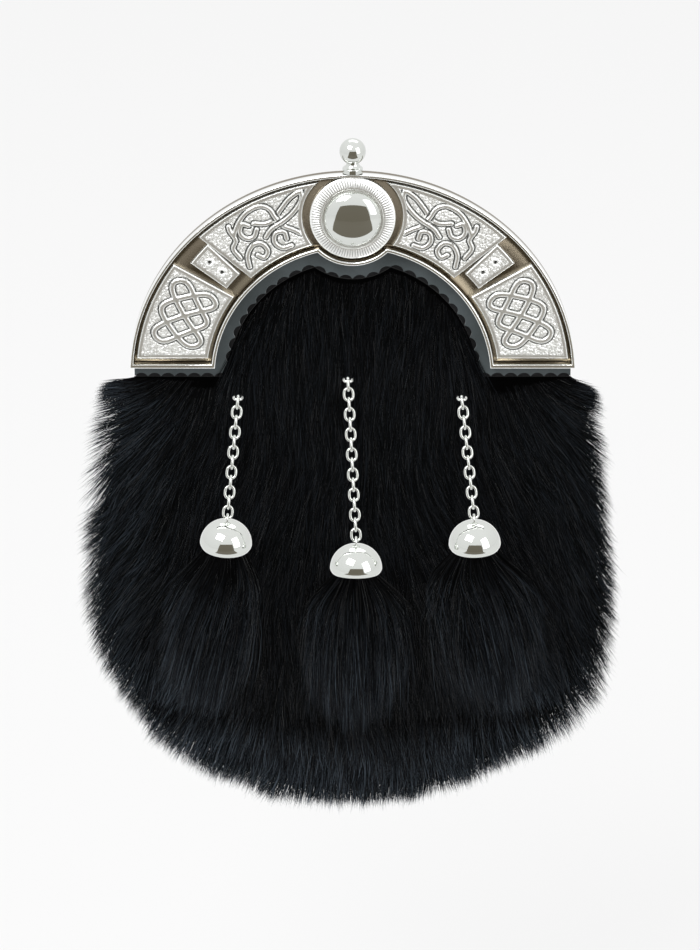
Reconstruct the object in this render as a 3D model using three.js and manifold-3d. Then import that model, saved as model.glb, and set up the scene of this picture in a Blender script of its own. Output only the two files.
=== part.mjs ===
// Full-dress sporran: a fur-fronted leather pouch with a cast metal cantle and three chain-hung tassels.
// Millimetres. X runs to the viewer's right, -Y faces the viewer, +Z is up.
// The origin is on the back of the pouch, midway between the two loops of the waist strap.

import * as THREE from 'three';
import { mergeVertices } from 'three/addons/utils/BufferGeometryUtils.js';
import Module from 'manifold-3d';

const wasm = await Module();
wasm.setup();

// Fit between pieces that touch
const gap = 0.3;

// Depth of the layers, from the back panel forwards
const leatherThick = 2;
const gussetDepth = 15.7;
const edgingThick = 1.4;
const cantlePlateThick = 1.8;
const rimHeight = 3.4;
const panelHeight = 2.3;
const reliefHeight = 0.8;
const boardBackY = -(leatherThick + gap + gussetDepth + gap);
const boardFrontY = boardBackY - leatherThick;
const edgingBackY = boardFrontY - gap;
const edgingFrontY = edgingBackY - edgingThick;
const cantleBackY = edgingFrontY - gap;
const cantlePlateY = cantleBackY - cantlePlateThick;
const cantleFrontY = cantlePlateY - rimHeight;
const panelFrontY = cantlePlateY - panelHeight;
const embed = 0.4;

// The arch: every cantle height is measured from its centre
const archCentreZ = -22;
const archOuter = { x: 82.6, z: 79.4 };
const archInner = 51.2;
const footLine = 4;
const bossCentre = 62.7;
const bossBulge = 18.3;
const outerRimWide = 1.2;
const panelInset = 2.4;
const innerRimWide = 1.3;
const footRimWide = 1.5;

// Raised panels of the right half: angles of their edges about the arch's centre, in degrees
const panelInner = 54;
const footAngles = { innerLow: 8.1, innerHigh: 36.2, outerLow: 5.6, outerHigh: 35.4 };
const plaque = { inner: 58, outer: 74.4, low: 37.2, high: 44.8 };
const stud = { places: [63.3, 69.2], angle: 41, radius: 1.1 };
const shoulderAngles = { innerLow: 46.5, innerHigh: 74.4, outerLow: 45.6, outerHigh: 81 };
const shoulderHollow = { radius: 17.7, low: -36, high: 50 };

// Relief on the panels: places by radius and angle about the arch's centre
const plait = {
  inner: 56.8, outer: 76.2, low: 11, high: 32.4, across: 2, along: 3, phase: 0.125, wide: 1.9,
};
const curls = [
  { radius: 61.5, angle: 53, size: 4.2, fromDeg: 200, toDeg: -70 },
  { radius: 60.5, angle: 67.5, size: 4, fromDeg: 330, toDeg: 60 },
  { radius: 70.5, angle: 54, size: 4.4, fromDeg: -120, toDeg: 130 },
];
const curlWide = 1.6;
const leaf = { radius: 69.5, angle: 70.5, long: 8.5, wide: 2.9, tiltDeg: 118, ribbon: 1.3 };
const stems = [
  { from: [66, 49], via: [69, 60], to: [63, 71] },
  { from: [58, 58], via: [63.5, 60], to: [73.5, 64] },
];
const stemWide = 1.5;

// Boss and knob
const bossRadius = 15.6;
const bossSide = 2.4;
const bossRing = 3.6;
const domeRadius = 10.5;
const domeHeight = 7.5;
const ballRadius = 4.8;
const ballAboveArch = 8.1;
const collarRadius = 3.7;
const collarHeight = 1.9;
const neckRadius = 2.2;

// Pinked leather edging
const edgingWide = 4.6;
const edgingBelowFoot = 5.3;
const edgingInset = 1.4;
const edgingDrop = 2.4;
const toothPitch = 5.2;
const toothDeep = 1.4;

// Outline of the leather pouch: widest below the middle, part of an ellipse above and half of one below
const pouchHalfWidth = 93.5;
const pouchWidestZ = -92;
const pouchLowerHeight = 84;
const pouchUpperHeight = 180;
const boardArchInset = 2.2;
const backInset = 1.4;
const backArchHeight = 60;

// Bulge of the front board
const belly = { height: 15, radius: 89, centreZ: -78 };

// Fur
const furBase = 4;
const furSplay = 48;
const coat = {
  length: 40, wide: 25, rise: 3.6, tipRise: 0.6, sunk: 1.6, rowStep: 33, columnStep: 30, columns: 3,
};
const coatRoom = { top: 34, bottom: 22, edging: 9, boss: 30, foot: 8, side: 4, pressedUp: 8 };
const edgeLock = {
  reach: 8.3, uneven: 1.4, root: 17, wide: 25, step: 21.5, inset: 3, rise: 2.6, droop: 0.9, sunk: 0.8, tip: 2,
};
const pressed = { chain: 20, tassel: 5, above: 14, capBelow: 35, end: 150 };

// Waist strap loops on the back
const loop = {
  x: 48, wide: 16, height: 42, foot: 8, standOff: 6.2, thick: 2, rampRun: 2, rampBend: 0.6, rampOuter: 1.6,
};

// Chains and tassels
const wire = 0.9;
const link = { length: 5.49, width: 4.3, pitch: 3.74, sides: 10, wireSides: 5, faceOn: 6, turned: 88 };
const linkHold = link.length / 2 - wire * 1.9;
const staple = { halfWide: 1.5, standOff: 2.6, shoulder: 0.6, steps: 7 };
const capRadius = 9.7;
const capHeight = 9.3;
const capTuck = 2;
const capWall = 0.9;
const eyeletRadius = 1.75;
const eyeletAboveCap = 2.3;
const tasselClear = 0.5;
// Where each chain starts and drifts to, in mm, its links, and its tassel's turns in degrees
const chains = [
  { name: 'left', x: -42.6, top: -7.5, drift: -3.9, links: 12, roll: 4, lean: 0 },
  { name: 'middle', x: -1.7, top: 0.2, drift: 3, links: 16, roll: 0, lean: 12 },
  { name: 'right', x: 40.6, top: -7.5, drift: 4.6, links: 12, roll: -2, lean: 3 },
];
// Length, half width and sideways swing of each tassel's fur
const furSizes = [
  { length: 73, half: 17, swing: -6 },
  { length: 70, half: 20, swing: 0 },
  { length: 74, half: 22, swing: 6 },
];
const tassels = chains.map((row, i) => ({ ...row, ...furSizes[i] }));
// Fur of a tassel: rows from the cap down, as shares of its length and spread
const brush = {
  headUp: 5.8, headRadius: 6.4, headTop: 3.8, sides: 8, locks: 5, flat: 0.4, forward: 2.6, heartLength: 0.92,
};
const brushRows = [
  { share: 0.06, out: 0.25, thick: 3.6, heart: 0.36 },
  { share: 0.35, out: 0.65, thick: 6.2, heart: 0.55 },
  { share: 0.75, out: 1, thick: 4.6, heart: 0.7 },
];

// Materials
const silver = { color: 0xc9ccc6, roughness: 0.18, metalness: 1 };
const chrome = { color: 0xd6dad6, roughness: 0.06, metalness: 1 };
const edgingLeather = { color: 0x3f4a4d, roughness: 0.6, metalness: 0 };
const blackLeather = { color: 0x15161a, roughness: 0.55, metalness: 0 };
const blackFur = { color: 0x0e0f12, roughness: 0.75, metalness: 0 };

const radians = THREE.MathUtils.degToRad;
const degrees = THREE.MathUtils.radToDeg;

// Points of an elliptical arc in the XZ plane
function arc(centreX, centreZ, radiusX, radiusZ, fromDeg, toDeg, steps) {
  const points = [];
  for (let i = 0; i <= steps; i += 1) {
    const angle = radians(fromDeg + (toDeg - fromDeg) * i / steps);
    points.push(new THREE.Vector2(
      centreX + radiusX * Math.cos(angle),
      centreZ + radiusZ * Math.sin(angle),
    ));
  }
  return points;
}

// The same arc, about the centre of the cantle's arch
function archArc(radiusX, radiusZ, fromDeg, toDeg, steps) {
  return arc(0, archCentreZ, radiusX, radiusZ, fromDeg, toDeg, steps);
}

// A flat plate with its outline in XZ, from backY towards the front
function plate(points, backY, thickness) {
  const geometry = new THREE.ExtrudeGeometry(new THREE.Shape(points), {
    depth: thickness,
    bevelEnabled: false,
  });
  geometry.rotateX(Math.PI / 2);
  geometry.translate(0, backY, 0);
  return geometry;
}

function mirrored(points) {
  return points.map((point) => new THREE.Vector2(-point.x, point.y)).reverse();
}

function signedVolume(positions, index) {
  const a = new THREE.Vector3();
  const b = new THREE.Vector3();
  const c = new THREE.Vector3();
  let volume = 0;
  for (let i = 0; i < index.length; i += 3) {
    a.fromArray(positions, index[i] * 3);
    b.fromArray(positions, index[i + 1] * 3);
    c.fromArray(positions, index[i + 2] * 3);
    volume += a.dot(b.cross(c));
  }
  return volume;
}

// A closed body through rings of equal count, with a point at each end
function loft(startPoint, rings, endPoint) {
  const count = rings[0].length;
  const vertices = [startPoint, ...rings.flat(), endPoint];
  const last = vertices.length - 1;
  const index = [];
  for (let k = 0; k < count; k += 1) {
    const next = (k + 1) % count;
    index.push(0, 1 + k, 1 + next);
    for (let r = 0; r + 1 < rings.length; r += 1) {
      const near = 1 + r * count;
      const far = near + count;
      index.push(near + k, far + k, far + next);
      index.push(near + k, far + next, near + next);
    }
    const lastRing = last - count;
    index.push(last, lastRing + next, lastRing + k);
  }
  const positions = vertices.flatMap((vertex) => vertex.toArray());
  if (signedVolume(positions, index) < 0) {
    index.reverse();
  }
  const geometry = new THREE.BufferGeometry();
  geometry.setAttribute('position', new THREE.Float32BufferAttribute(positions, 3));
  geometry.setIndex(index);
  return geometry;
}

function toSolid(geometry) {
  const bare = geometry.clone();
  bare.deleteAttribute('normal');
  bare.deleteAttribute('uv');
  const merged = mergeVertices(bare);
  return new wasm.Manifold(new wasm.Mesh({
    numProp: 3,
    vertProperties: new Float32Array(merged.attributes.position.array),
    triVerts: new Uint32Array(merged.index.array),
  }));
}

function toGeometry(solid) {
  const data = solid.getMesh();
  const geometry = new THREE.BufferGeometry();
  geometry.setAttribute('position', new THREE.BufferAttribute(data.vertProperties, 3));
  geometry.setIndex(new THREE.BufferAttribute(data.triVerts, 1));
  return geometry;
}

function fused(geometries) {
  let solid = toSolid(geometries[0]);
  for (const geometry of geometries.slice(1)) {
    solid = solid.add(toSolid(geometry));
  }
  return toGeometry(solid);
}

function mesh(name, geometry, finish) {
  const piece = new THREE.Mesh(geometry, new THREE.MeshStandardMaterial({ ...finish, flatShading: true }));
  piece.name = name;
  return piece;
}

// A round wire along a curve
function wireAlong(curve, radius, steps) {
  const sides = link.wireSides;
  const section = new THREE.Shape(arc(0, 0, radius, radius, 0, 360 - 360 / sides, sides - 1));
  return new THREE.ExtrudeGeometry(section, {
    steps,
    bevelEnabled: false,
    extrudePath: curve,
    curveSegments: 1,
  });
}

// Where the arch's inner circle meets the circle round the boss: its angle from upright, seen from each centre
function bossJunction(inner, bulge) {
  const notchCos = (inner ** 2 + bossCentre ** 2 - bulge ** 2) / (2 * inner * bossCentre);
  const notch = Math.acos(notchCos);
  const bulgeFrom = Math.atan2(inner * Math.cos(notch) - bossCentre, inner * Math.sin(notch));
  return { notch: degrees(notch), bulgeFrom: degrees(bulgeFrom) };
}

// Outline of the cantle, drawn in by an inset that differs for its outer edge, foot and inner edge
function cantleOutline(outerInset, footInset, innerInset) {
  const outerX = archOuter.x - outerInset;
  const outerZ = archOuter.z - outerInset;
  const inner = archInner + innerInset;
  const bulge = bossBulge - innerInset;
  const foot = footLine + footInset;
  const outerFrom = degrees(Math.asin(foot / outerZ));
  const innerFrom = degrees(Math.asin(foot / inner));
  const { notch, bulgeFrom } = bossJunction(inner, bulge);
  const outerArc = archArc(outerX, outerZ, outerFrom, 180 - outerFrom, 26);
  const leftArc = archArc(inner, inner, 180 - innerFrom, 90 + notch, 10);
  const bulgeArc = arc(0, archCentreZ + bossCentre, bulge, bulge, -180 - bulgeFrom, bulgeFrom, 8);
  const rightArc = archArc(inner, inner, 90 - notch, innerFrom, 10);
  return [...outerArc, ...leftArc, ...bulgeArc.slice(1, -1), ...rightArc];
}

// The raised panels of the right half, each as inner edge, side edges and outer edge
function footPanel() {
  const outer = { x: archOuter.x - panelInset, z: archOuter.z - panelInset };
  const { innerLow, innerHigh, outerLow, outerHigh } = footAngles;
  return [
    ...archArc(panelInner, panelInner, innerLow, innerHigh, 5),
    ...archArc(outer.x, outer.z, outerHigh, outerLow, 6),
  ];
}

function plaquePanel() {
  const { inner, outer, low, high } = plaque;
  return [...archArc(inner, inner, low, high, 2), ...archArc(outer, outer, high, low, 2)];
}

function shoulderPanel() {
  const outer = { x: archOuter.x - panelInset, z: archOuter.z - panelInset };
  const { radius, low, high } = shoulderHollow;
  const { innerLow, innerHigh, outerLow, outerHigh } = shoulderAngles;
  return [
    ...archArc(panelInner, panelInner, innerLow, innerHigh, 5),
    ...arc(0, archCentreZ + bossCentre, radius, radius, low, high, 6),
    ...archArc(outer.x, outer.z, outerHigh, outerLow, 7),
  ];
}

// A flat ribbon of relief along a line of points on a panel
function ribbon(points, width) {
  const left = [];
  const right = [];
  points.forEach((point, i) => {
    const before = points[Math.max(i - 1, 0)];
    const after = points[Math.min(i + 1, points.length - 1)];
    const along = after.clone().sub(before).normalize();
    const across = new THREE.Vector2(-along.y, along.x).multiplyScalar(width / 2);
    left.push(point.clone().add(across));
    right.push(point.clone().sub(across));
  });
  return plate([...left, ...right.reverse()], panelFrontY + embed, reliefHeight + embed);
}

// A place on the cantle, from its radius and its angle about the arch
function onArch(radius, angleDeg) {
  const angle = radians(angleDeg);
  return new THREE.Vector2(radius * Math.cos(angle), archCentreZ + radius * Math.sin(angle));
}

// Diagonal plait of the foot panels: one strand that runs back and forth between the panel's edges
function plaitRibbons() {
  const zigzag = (turns) => Math.abs(2 * (turns - Math.floor(turns + 0.5)));
  const place = (t) => onArch(
    plait.inner + (plait.outer - plait.inner) * zigzag(plait.along * t + plait.phase),
    plait.low + (plait.high - plait.low) * zigzag(plait.across * t),
  );
  const corners = new Set();
  for (let k = 0; k <= 2 * plait.across; k += 1) {
    corners.add(k / (2 * plait.across));
  }
  for (let k = 1; k <= 2 * plait.along; k += 1) {
    corners.add((k / 2 - plait.phase) / plait.along);
  }
  const times = [...corners].sort((a, b) => a - b);
  return times.slice(1).map((t, i) => ribbon([place(times[i]), place(t)], plait.wide));
}

// Curls, a pointed leaf and crossing stems of the shoulder panels
function curlRibbons() {
  return curls.map((curl) => {
    const centre = onArch(curl.radius, curl.angle);
    return ribbon(arc(centre.x, centre.y, curl.size, curl.size, curl.fromDeg, curl.toDeg, 5), curlWide);
  });
}

function leafRibbons() {
  const centre = onArch(leaf.radius, leaf.angle);
  return [1, -1].map((side) => {
    const edge = [];
    for (let i = 0; i <= 4; i += 1) {
      const t = i / 4;
      const point = new THREE.Vector2(leaf.long * (t - 0.5), side * leaf.wide * Math.sin(Math.PI * t));
      edge.push(point.rotateAround(new THREE.Vector2(), radians(leaf.tiltDeg)).add(centre));
    }
    return ribbon(edge, leaf.ribbon);
  });
}

function stemRibbons() {
  return stems.map((stem) => {
    const curve = new THREE.QuadraticBezierCurve(onArch(...stem.from), onArch(...stem.via), onArch(...stem.to));
    return ribbon(curve.getPoints(3), stemWide);
  });
}

function plaqueStuds() {
  return stud.places.map((radius) => {
    const centre = onArch(radius, stud.angle);
    const outline = arc(centre.x, centre.y, stud.radius, stud.radius, 0, 300, 5);
    return plate(outline, panelFrontY + embed, reliefHeight + embed);
  });
}

function makeCantle() {
  const base = toSolid(plate(cantleOutline(0, 0, 0), cantleBackY, cantlePlateThick + rimHeight));
  const field = cantleOutline(outerRimWide, footRimWide, innerRimWide);
  const recess = toSolid(plate(field, cantlePlateY, rimHeight + 1));
  const seatRadius = bossRadius + gap;
  const seat = arc(0, archCentreZ + bossCentre, seatRadius, seatRadius, 0, 342, 19);
  let casting = base.subtract(recess).subtract(toSolid(plate(seat, cantlePlateY, rimHeight + 1)));
  const panels = [footPanel(), plaquePanel(), shoulderPanel()];
  for (const panel of [...panels, ...panels.map(mirrored)]) {
    casting = casting.add(toSolid(plate(panel, cantlePlateY + embed, panelHeight + embed)));
  }
  const relief = [
    ...plaitRibbons(), ...curlRibbons(), ...leafRibbons(), ...stemRibbons(), ...plaqueStuds(),
  ];
  for (const piece of relief) {
    const right = toSolid(piece);
    casting = casting.add(right).add(right.mirror([1, 0, 0]));
  }
  return mesh('cantle', toGeometry(casting), silver);
}

function makeBoss() {
  const profile = [
    [0, 0], [bossRadius, 0], [bossRadius, bossSide], [bossRadius - 1.2, bossRing - 0.3],
    [domeRadius + 1.2, bossRing], [domeRadius + 0.5, bossSide + 0.3], [domeRadius, bossRing],
  ];
  const domeSteps = 3;
  for (let i = 1; i <= domeSteps; i += 1) {
    const angle = radians(90 * i / domeSteps);
    profile.push([domeRadius * Math.cos(angle), bossRing + (domeHeight - bossRing) * Math.sin(angle)]);
  }
  profile[profile.length - 1][0] = 0;
  const geometry = new THREE.LatheGeometry(profile.map(([r, h]) => new THREE.Vector2(r, h)), 20);
  const piece = mesh('boss', geometry, chrome);
  piece.rotation.x = Math.PI;
  piece.position.set(0, cantlePlateY - gap, archCentreZ + bossCentre);
  return piece;
}

function makeKnob() {
  const ballCentre = ballAboveArch - gap;
  const profile = [
    [0, 0], [collarRadius, 0], [collarRadius, collarHeight], [neckRadius, collarHeight + 0.6],
  ];
  const ballSteps = 6;
  for (let i = 0; i <= ballSteps; i += 1) {
    const start = Math.asin(neckRadius / ballRadius);
    const angle = start + (Math.PI - start) * i / ballSteps;
    profile.push([ballRadius * Math.sin(angle), ballCentre - ballRadius * Math.cos(angle)]);
  }
  profile[profile.length - 1][0] = 0;
  const geometry = new THREE.LatheGeometry(profile.map(([r, h]) => new THREE.Vector2(r, h)), 10);
  geometry.rotateX(Math.PI / 2);
  const piece = mesh('knob', geometry, chrome);
  piece.position.set(0, (cantleBackY + cantleFrontY) / 2, archCentreZ + archOuter.z + gap);
  return piece;
}

// Pointed teeth with hollow bites between them, along an arc
function pinkedArc(centreZ, radius, fromDeg, toDeg, biteOutwards) {
  const length = Math.abs(radians(toDeg - fromDeg)) * radius;
  const teeth = Math.max(1, Math.round(length / toothPitch));
  const points = [];
  for (let i = 0; i < teeth; i += 1) {
    for (const [part, deep] of [[0, 0], [0.5, 1]]) {
      const angle = radians(fromDeg + (toDeg - fromDeg) * (i + part) / teeth);
      const reach = radius + biteOutwards * deep * toothDeep;
      points.push(new THREE.Vector2(reach * Math.cos(angle), centreZ + reach * Math.sin(angle)));
    }
  }
  return points;
}

function pinkedLine(fromX, toX, z) {
  const teeth = Math.max(1, Math.round(Math.abs(toX - fromX) / toothPitch));
  const points = [];
  for (let i = 0; i < teeth; i += 1) {
    for (const [part, deep] of [[0, 0], [0.5, 1]]) {
      points.push(new THREE.Vector2(fromX + (toX - fromX) * (i + part) / teeth, z + deep * toothDeep));
    }
  }
  return points;
}

function makeCantleLeather() {
  const inner = archInner - edgingWide;
  const bulge = bossBulge + edgingWide;
  const footZ = footLine - edgingBelowFoot;
  const { notch, bulgeFrom } = bossJunction(inner, bulge);
  const innerFrom = degrees(Math.asin((footZ + edgingDrop) / inner));
  const innerX = inner * Math.cos(radians(innerFrom));
  const centreZ = archCentreZ - edgingDrop;
  const outer = { x: archOuter.x - edgingInset, z: archOuter.z - edgingInset };
  const points = [
    ...archArc(outer.x, outer.z, 0, 180, 20),
    ...pinkedLine(-outer.x, -innerX, archCentreZ + footZ),
    ...pinkedArc(centreZ, inner, 180 - innerFrom, 90 + notch, 1),
    ...pinkedArc(centreZ + bossCentre, bulge, -180 - bulgeFrom, bulgeFrom, -1),
    ...pinkedArc(centreZ, inner, 90 - notch, innerFrom, 1),
    ...pinkedLine(innerX, outer.x, archCentreZ + footZ),
    new THREE.Vector2(outer.x, archCentreZ + footZ),
  ];
  return mesh('cantle_leather', plate(points, edgingBackY, edgingThick), edgingLeather);
}

// Outline of the pouch below the cantle's feet, from its left top round the bottom to its right top
function pouchOutline(inset, upperSteps, lowerSteps) {
  const side = pouchHalfWidth - inset;
  const centreZ = archCentreZ + pouchWidestZ;
  const footUp = footLine - pouchWidestZ;
  const shoulder = degrees(Math.asin(footUp / pouchUpperHeight));
  return [
    ...arc(0, centreZ, side, pouchUpperHeight, 180 - shoulder, 180, upperSteps),
    ...arc(0, centreZ, side, pouchLowerHeight - inset, 180, 360, lowerSteps).slice(1, -1),
    ...arc(0, centreZ, side, pouchUpperHeight, 0, shoulder, upperSteps),
  ];
}

function boardOutline() {
  const body = pouchOutline(0, 3, 13);
  const arch = archArc(body.at(-1).x, archOuter.z - boardArchInset, 10, 170, 8);
  return [...body, ...arch];
}

function bulgeAt(x, z) {
  const reach = Math.hypot(x, z - archCentreZ - belly.centreZ) / belly.radius;
  return belly.height * Math.max(0, 1 - reach ** 2);
}

// A plate that follows the bulge, between two depths measured from the board's front
function bulgedPlate(outline, backY, frontY) {
  const centre = new THREE.Vector2(0, archCentreZ + belly.centreZ);
  const ringAt = (share, y) => outline.map((point) => {
    const spoke = point.clone().sub(centre);
    const reach = Math.min(spoke.length(), belly.radius);
    const length = share === 1 ? spoke.length() : reach * share;
    const place = spoke.normalize().multiplyScalar(length).add(centre);
    return new THREE.Vector3(place.x, y - bulgeAt(place.x, place.y), place.y);
  });
  const shares = [0.52, 0.99, 1];
  const rings = [
    ...shares.map((share) => ringAt(share, frontY)),
    ...shares.toReversed().map((share) => ringAt(share, backY)),
  ];
  const tip = (y) => new THREE.Vector3(centre.x, y - belly.height, centre.y);
  return loft(tip(frontY), rings, tip(backY));
}

function makeFrontBoard() {
  return mesh('front_board', bulgedPlate(boardOutline(), boardBackY, boardFrontY), blackLeather);
}

function makeGusset() {
  const outer = pouchOutline(backInset, 2, 14);
  const inner = pouchOutline(backInset + leatherThick, 2, 14);
  return mesh('gusset', plate([...outer, ...inner.reverse()], -leatherThick - gap, gussetDepth), blackLeather);
}

function makeBackPanel() {
  const body = pouchOutline(backInset, 2, 14);
  const arch = archArc(body.at(-1).x, backArchHeight, 8, 172, 12);
  return mesh('back_panel', plate([...body, ...arch], 0, leatherThick), blackLeather);
}

// Where the fur shows: inside the arch of the leather edging, and below the cantle's feet
function furArea() {
  const inner = archInner - edgingWide - gap;
  const bulge = bossBulge + edgingWide + gap;
  const topZ = footLine - edgingBelowFoot - gap;
  const innerFrom = degrees(Math.asin((topZ + edgingDrop) / inner));
  const { notch, bulgeFrom } = bossJunction(inner, bulge);
  const centreZ = archCentreZ - edgingDrop;
  const far = 2 * pouchHalfWidth;
  return [
    new THREE.Vector2(-far, archCentreZ + topZ),
    new THREE.Vector2(-far, archCentreZ - far),
    new THREE.Vector2(far, archCentreZ - far),
    new THREE.Vector2(far, archCentreZ + topZ),
    ...arc(0, centreZ, inner, inner, innerFrom, 90 - notch, 6),
    ...arc(0, centreZ + bossCentre, bulge, bulge, bulgeFrom, -180 - bulgeFrom, 6).slice(1, -1),
    ...arc(0, centreZ, inner, inner, 90 + notch, 180 - innerFrom, 6),
  ];
}

// The way the fur lies: down, and outwards towards the sides
function furFlow(x) {
  const splay = radians(furSplay * x / pouchHalfWidth);
  return new THREE.Vector2(Math.sin(splay), -Math.cos(splay));
}

// One pointed lock: it starts in the fur, rises to a crest and ends in a tip
function lock(x, z, flow, length, wide, rootY, crestY, tipY) {
  const along = (share, side, y) => new THREE.Vector3(
    x + flow.x * length * share - flow.y * wide * side,
    y,
    z + flow.y * length * share + flow.x * wide * side,
  );
  const crest = [along(0.45, -0.5, rootY), along(0.4, 0, crestY), along(0.45, 0.5, rootY)];
  return loft(along(0, 0, rootY), [crest], along(1, 0, tipY));
}

// True where a chain or tassel presses the fur down
function isPressed(x, z) {
  return tassels.some((tassel) => {
    const below = tassel.top + archCentreZ - z;
    const half = below > pressed.capBelow ? tassel.half + pressed.tassel : pressed.chain;
    const aside = Math.abs(x - tassel.x - tassel.drift / 2);
    return aside < half && below > -pressed.above && below < pressed.end;
  });
}

function furLocks() {
  const locks = [];
  const lowest = pouchWidestZ - pouchLowerHeight;
  let row = 0;
  for (let z = coatRoom.top; z > lowest + coatRoom.bottom; z -= coat.rowStep) {
    const stagger = (row % 2) * coat.columnStep / 2;
    for (let column = -coat.columns; column <= coat.columns; column += 1) {
      const x = column * coat.columnStep + stagger;
      const level = archCentreZ + z;
      const inArch = Math.hypot(x, z) < archInner - edgingWide - coatRoom.edging
        && Math.hypot(x, z - bossCentre) > coatRoom.boss;
      const flow = furFlow(x);
      const tip = new THREE.Vector2(x, level).addScaledVector(flow, coat.length);
      const tipDrop = (tip.y - archCentreZ - pouchWidestZ) / (pouchLowerHeight + coatRoom.side);
      const tipReach = Math.hypot(tip.x / (pouchHalfWidth + coatRoom.side), Math.min(0, tipDrop));
      const inBody = z < -coatRoom.foot && tipReach < 1;
      if ((inArch || inBody) && !isPressed(x, level - coatRoom.pressedUp)) {
        const base = boardFrontY - gap - furBase;
        const surface = base - bulgeAt(x, level);
        const tipSurface = base - bulgeAt(tip.x, tip.y);
        locks.push(lock(
          x, level, flow, coat.length, coat.wide,
          surface + coat.sunk, surface - coat.rise, tipSurface - coat.rise * coat.tipRise,
        ));
      }
    }
    row += 1;
  }
  return locks;
}

// Locks that hang past the edge of the hide, along both sides and the bottom
function edgeLocks() {
  const edge = new THREE.SplineCurve(pouchOutline(edgeLock.inset, 4, 16));
  const count = Math.round(edge.getLength() / edgeLock.step);
  const backY = boardFrontY - gap;
  const locks = [];
  for (let i = 1; i < count; i += 1) {
    const tangent = edge.getTangentAt(i / count);
    const outward = new THREE.Vector2(tangent.y, -tangent.x);
    const flow = outward.add(new THREE.Vector2(0, -edgeLock.droop)).normalize();
    const root = edge.getPointAt(i / count).addScaledVector(flow, -edgeLock.root);
    const length = edgeLock.root + edgeLock.reach + edgeLock.uneven * (i % 2);
    locks.push(lock(
      root.x, root.y, flow, length, edgeLock.wide,
      backY - edgeLock.sunk, backY - furBase - edgeLock.rise, backY - edgeLock.tip,
    ));
  }
  return locks;
}

function makeFurFront() {
  const hide = toSolid(bulgedPlate(boardOutline(), boardFrontY - gap, boardFrontY - gap - furBase));
  const area = toSolid(plate(furArea(), 0, 2 * belly.height - 2 * boardFrontY));
  const backing = toSolid(bulgedPlate(boardOutline(), 0, boardFrontY - gap));
  let fur = hide.intersect(area);
  for (const piece of [...furLocks(), ...edgeLocks()]) {
    fur = fur.add(toSolid(piece).intersect(area).subtract(backing));
  }
  return mesh('fur_front', toGeometry(fur), blackFur);
}

function makeBeltLoop(name, x) {
  const { height, foot, standOff, thick, wide, rampRun, rampBend, rampOuter } = loop;
  const half = height / 2;
  const outer = gap + standOff + thick;
  const upper = [
    [gap + standOff, half - foot - rampRun], [gap, half - foot], [gap, half],
    [gap + thick, half], [gap + thick + rampBend, half - foot + rampOuter], [outer, half - foot],
  ];
  const profile = [...upper, ...upper.map(([y, z]) => [y, -z]).reverse()];
  const shape = new THREE.Shape(profile.map(([y, z]) => new THREE.Vector2(y, z)));
  const geometry = new THREE.ExtrudeGeometry(shape, { depth: wide, bevelEnabled: false });
  geometry.translate(0, 0, -wide / 2);
  geometry.rotateX(Math.PI / 2);
  geometry.rotateZ(Math.PI / 2);
  const piece = mesh(name, geometry, blackLeather);
  piece.position.set(x, 0, 0);
  return piece;
}

// The line of a chain, from the wire of its staple down to the wire of the eyelet on its cap
function chainLine(tassel) {
  const topZ = archCentreZ + tassel.top;
  const surface = (x, z) => boardFrontY - gap - furBase - bulgeAt(x, z);
  const span = (tassel.links - 1) * link.pitch + 2 * linkHold;
  const top = new THREE.Vector3(tassel.x, surface(tassel.x, topZ) - staple.standOff, topZ);
  const capY = surface(tassel.x + tassel.drift, topZ - span) - tasselClear - capRadius;
  const fall = Math.sqrt(span ** 2 - tassel.drift ** 2 - (capY - top.y) ** 2);
  const bottom = new THREE.Vector3(tassel.x + tassel.drift, capY, topZ - fall);
  return { top, bottom };
}

// An upright oval link, flat in its own XZ plane
function linkGeometry() {
  const halfLong = (link.length - wire) / 2;
  const halfWide = (link.width - wire) / 2;
  const points = [];
  for (let i = 0; i < link.sides; i += 1) {
    const angle = radians(360 * i / link.sides + 90);
    points.push(new THREE.Vector3(halfWide * Math.cos(angle), 0, halfLong * Math.sin(angle)));
  }
  return ringOfWire(points);
}

// A closed ring of wire through points that lie round the Y axis, with an edge of the wire facing inwards
function ringOfWire(points) {
  const radius = wire / 2;
  const sides = link.wireSides;
  const index = [];
  const positions = [];
  const count = points.length;
  points.forEach((point, i) => {
    const before = points[(i + count - 1) % count];
    const after = points[(i + 1) % count];
    const along = after.clone().sub(before).normalize();
    const across = new THREE.Vector3(0, 1, 0);
    const inward = along.clone().cross(across);
    for (let k = 0; k < sides; k += 1) {
      const angle = 2 * Math.PI * k / sides;
      const offset = inward.clone().multiplyScalar(radius * Math.cos(angle));
      offset.addScaledVector(across, radius * Math.sin(angle));
      positions.push(...point.clone().add(offset).toArray());
      const next = (i + 1) % count;
      const turn = (k + 1) % sides;
      index.push(i * sides + k, next * sides + k, next * sides + turn);
      index.push(i * sides + k, next * sides + turn, i * sides + turn);
    }
  });
  if (signedVolume(positions, index) < 0) {
    index.reverse();
  }
  const geometry = new THREE.BufferGeometry();
  geometry.setAttribute('position', new THREE.Float32BufferAttribute(positions, 3));
  geometry.setIndex(index);
  return geometry;
}

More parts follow.
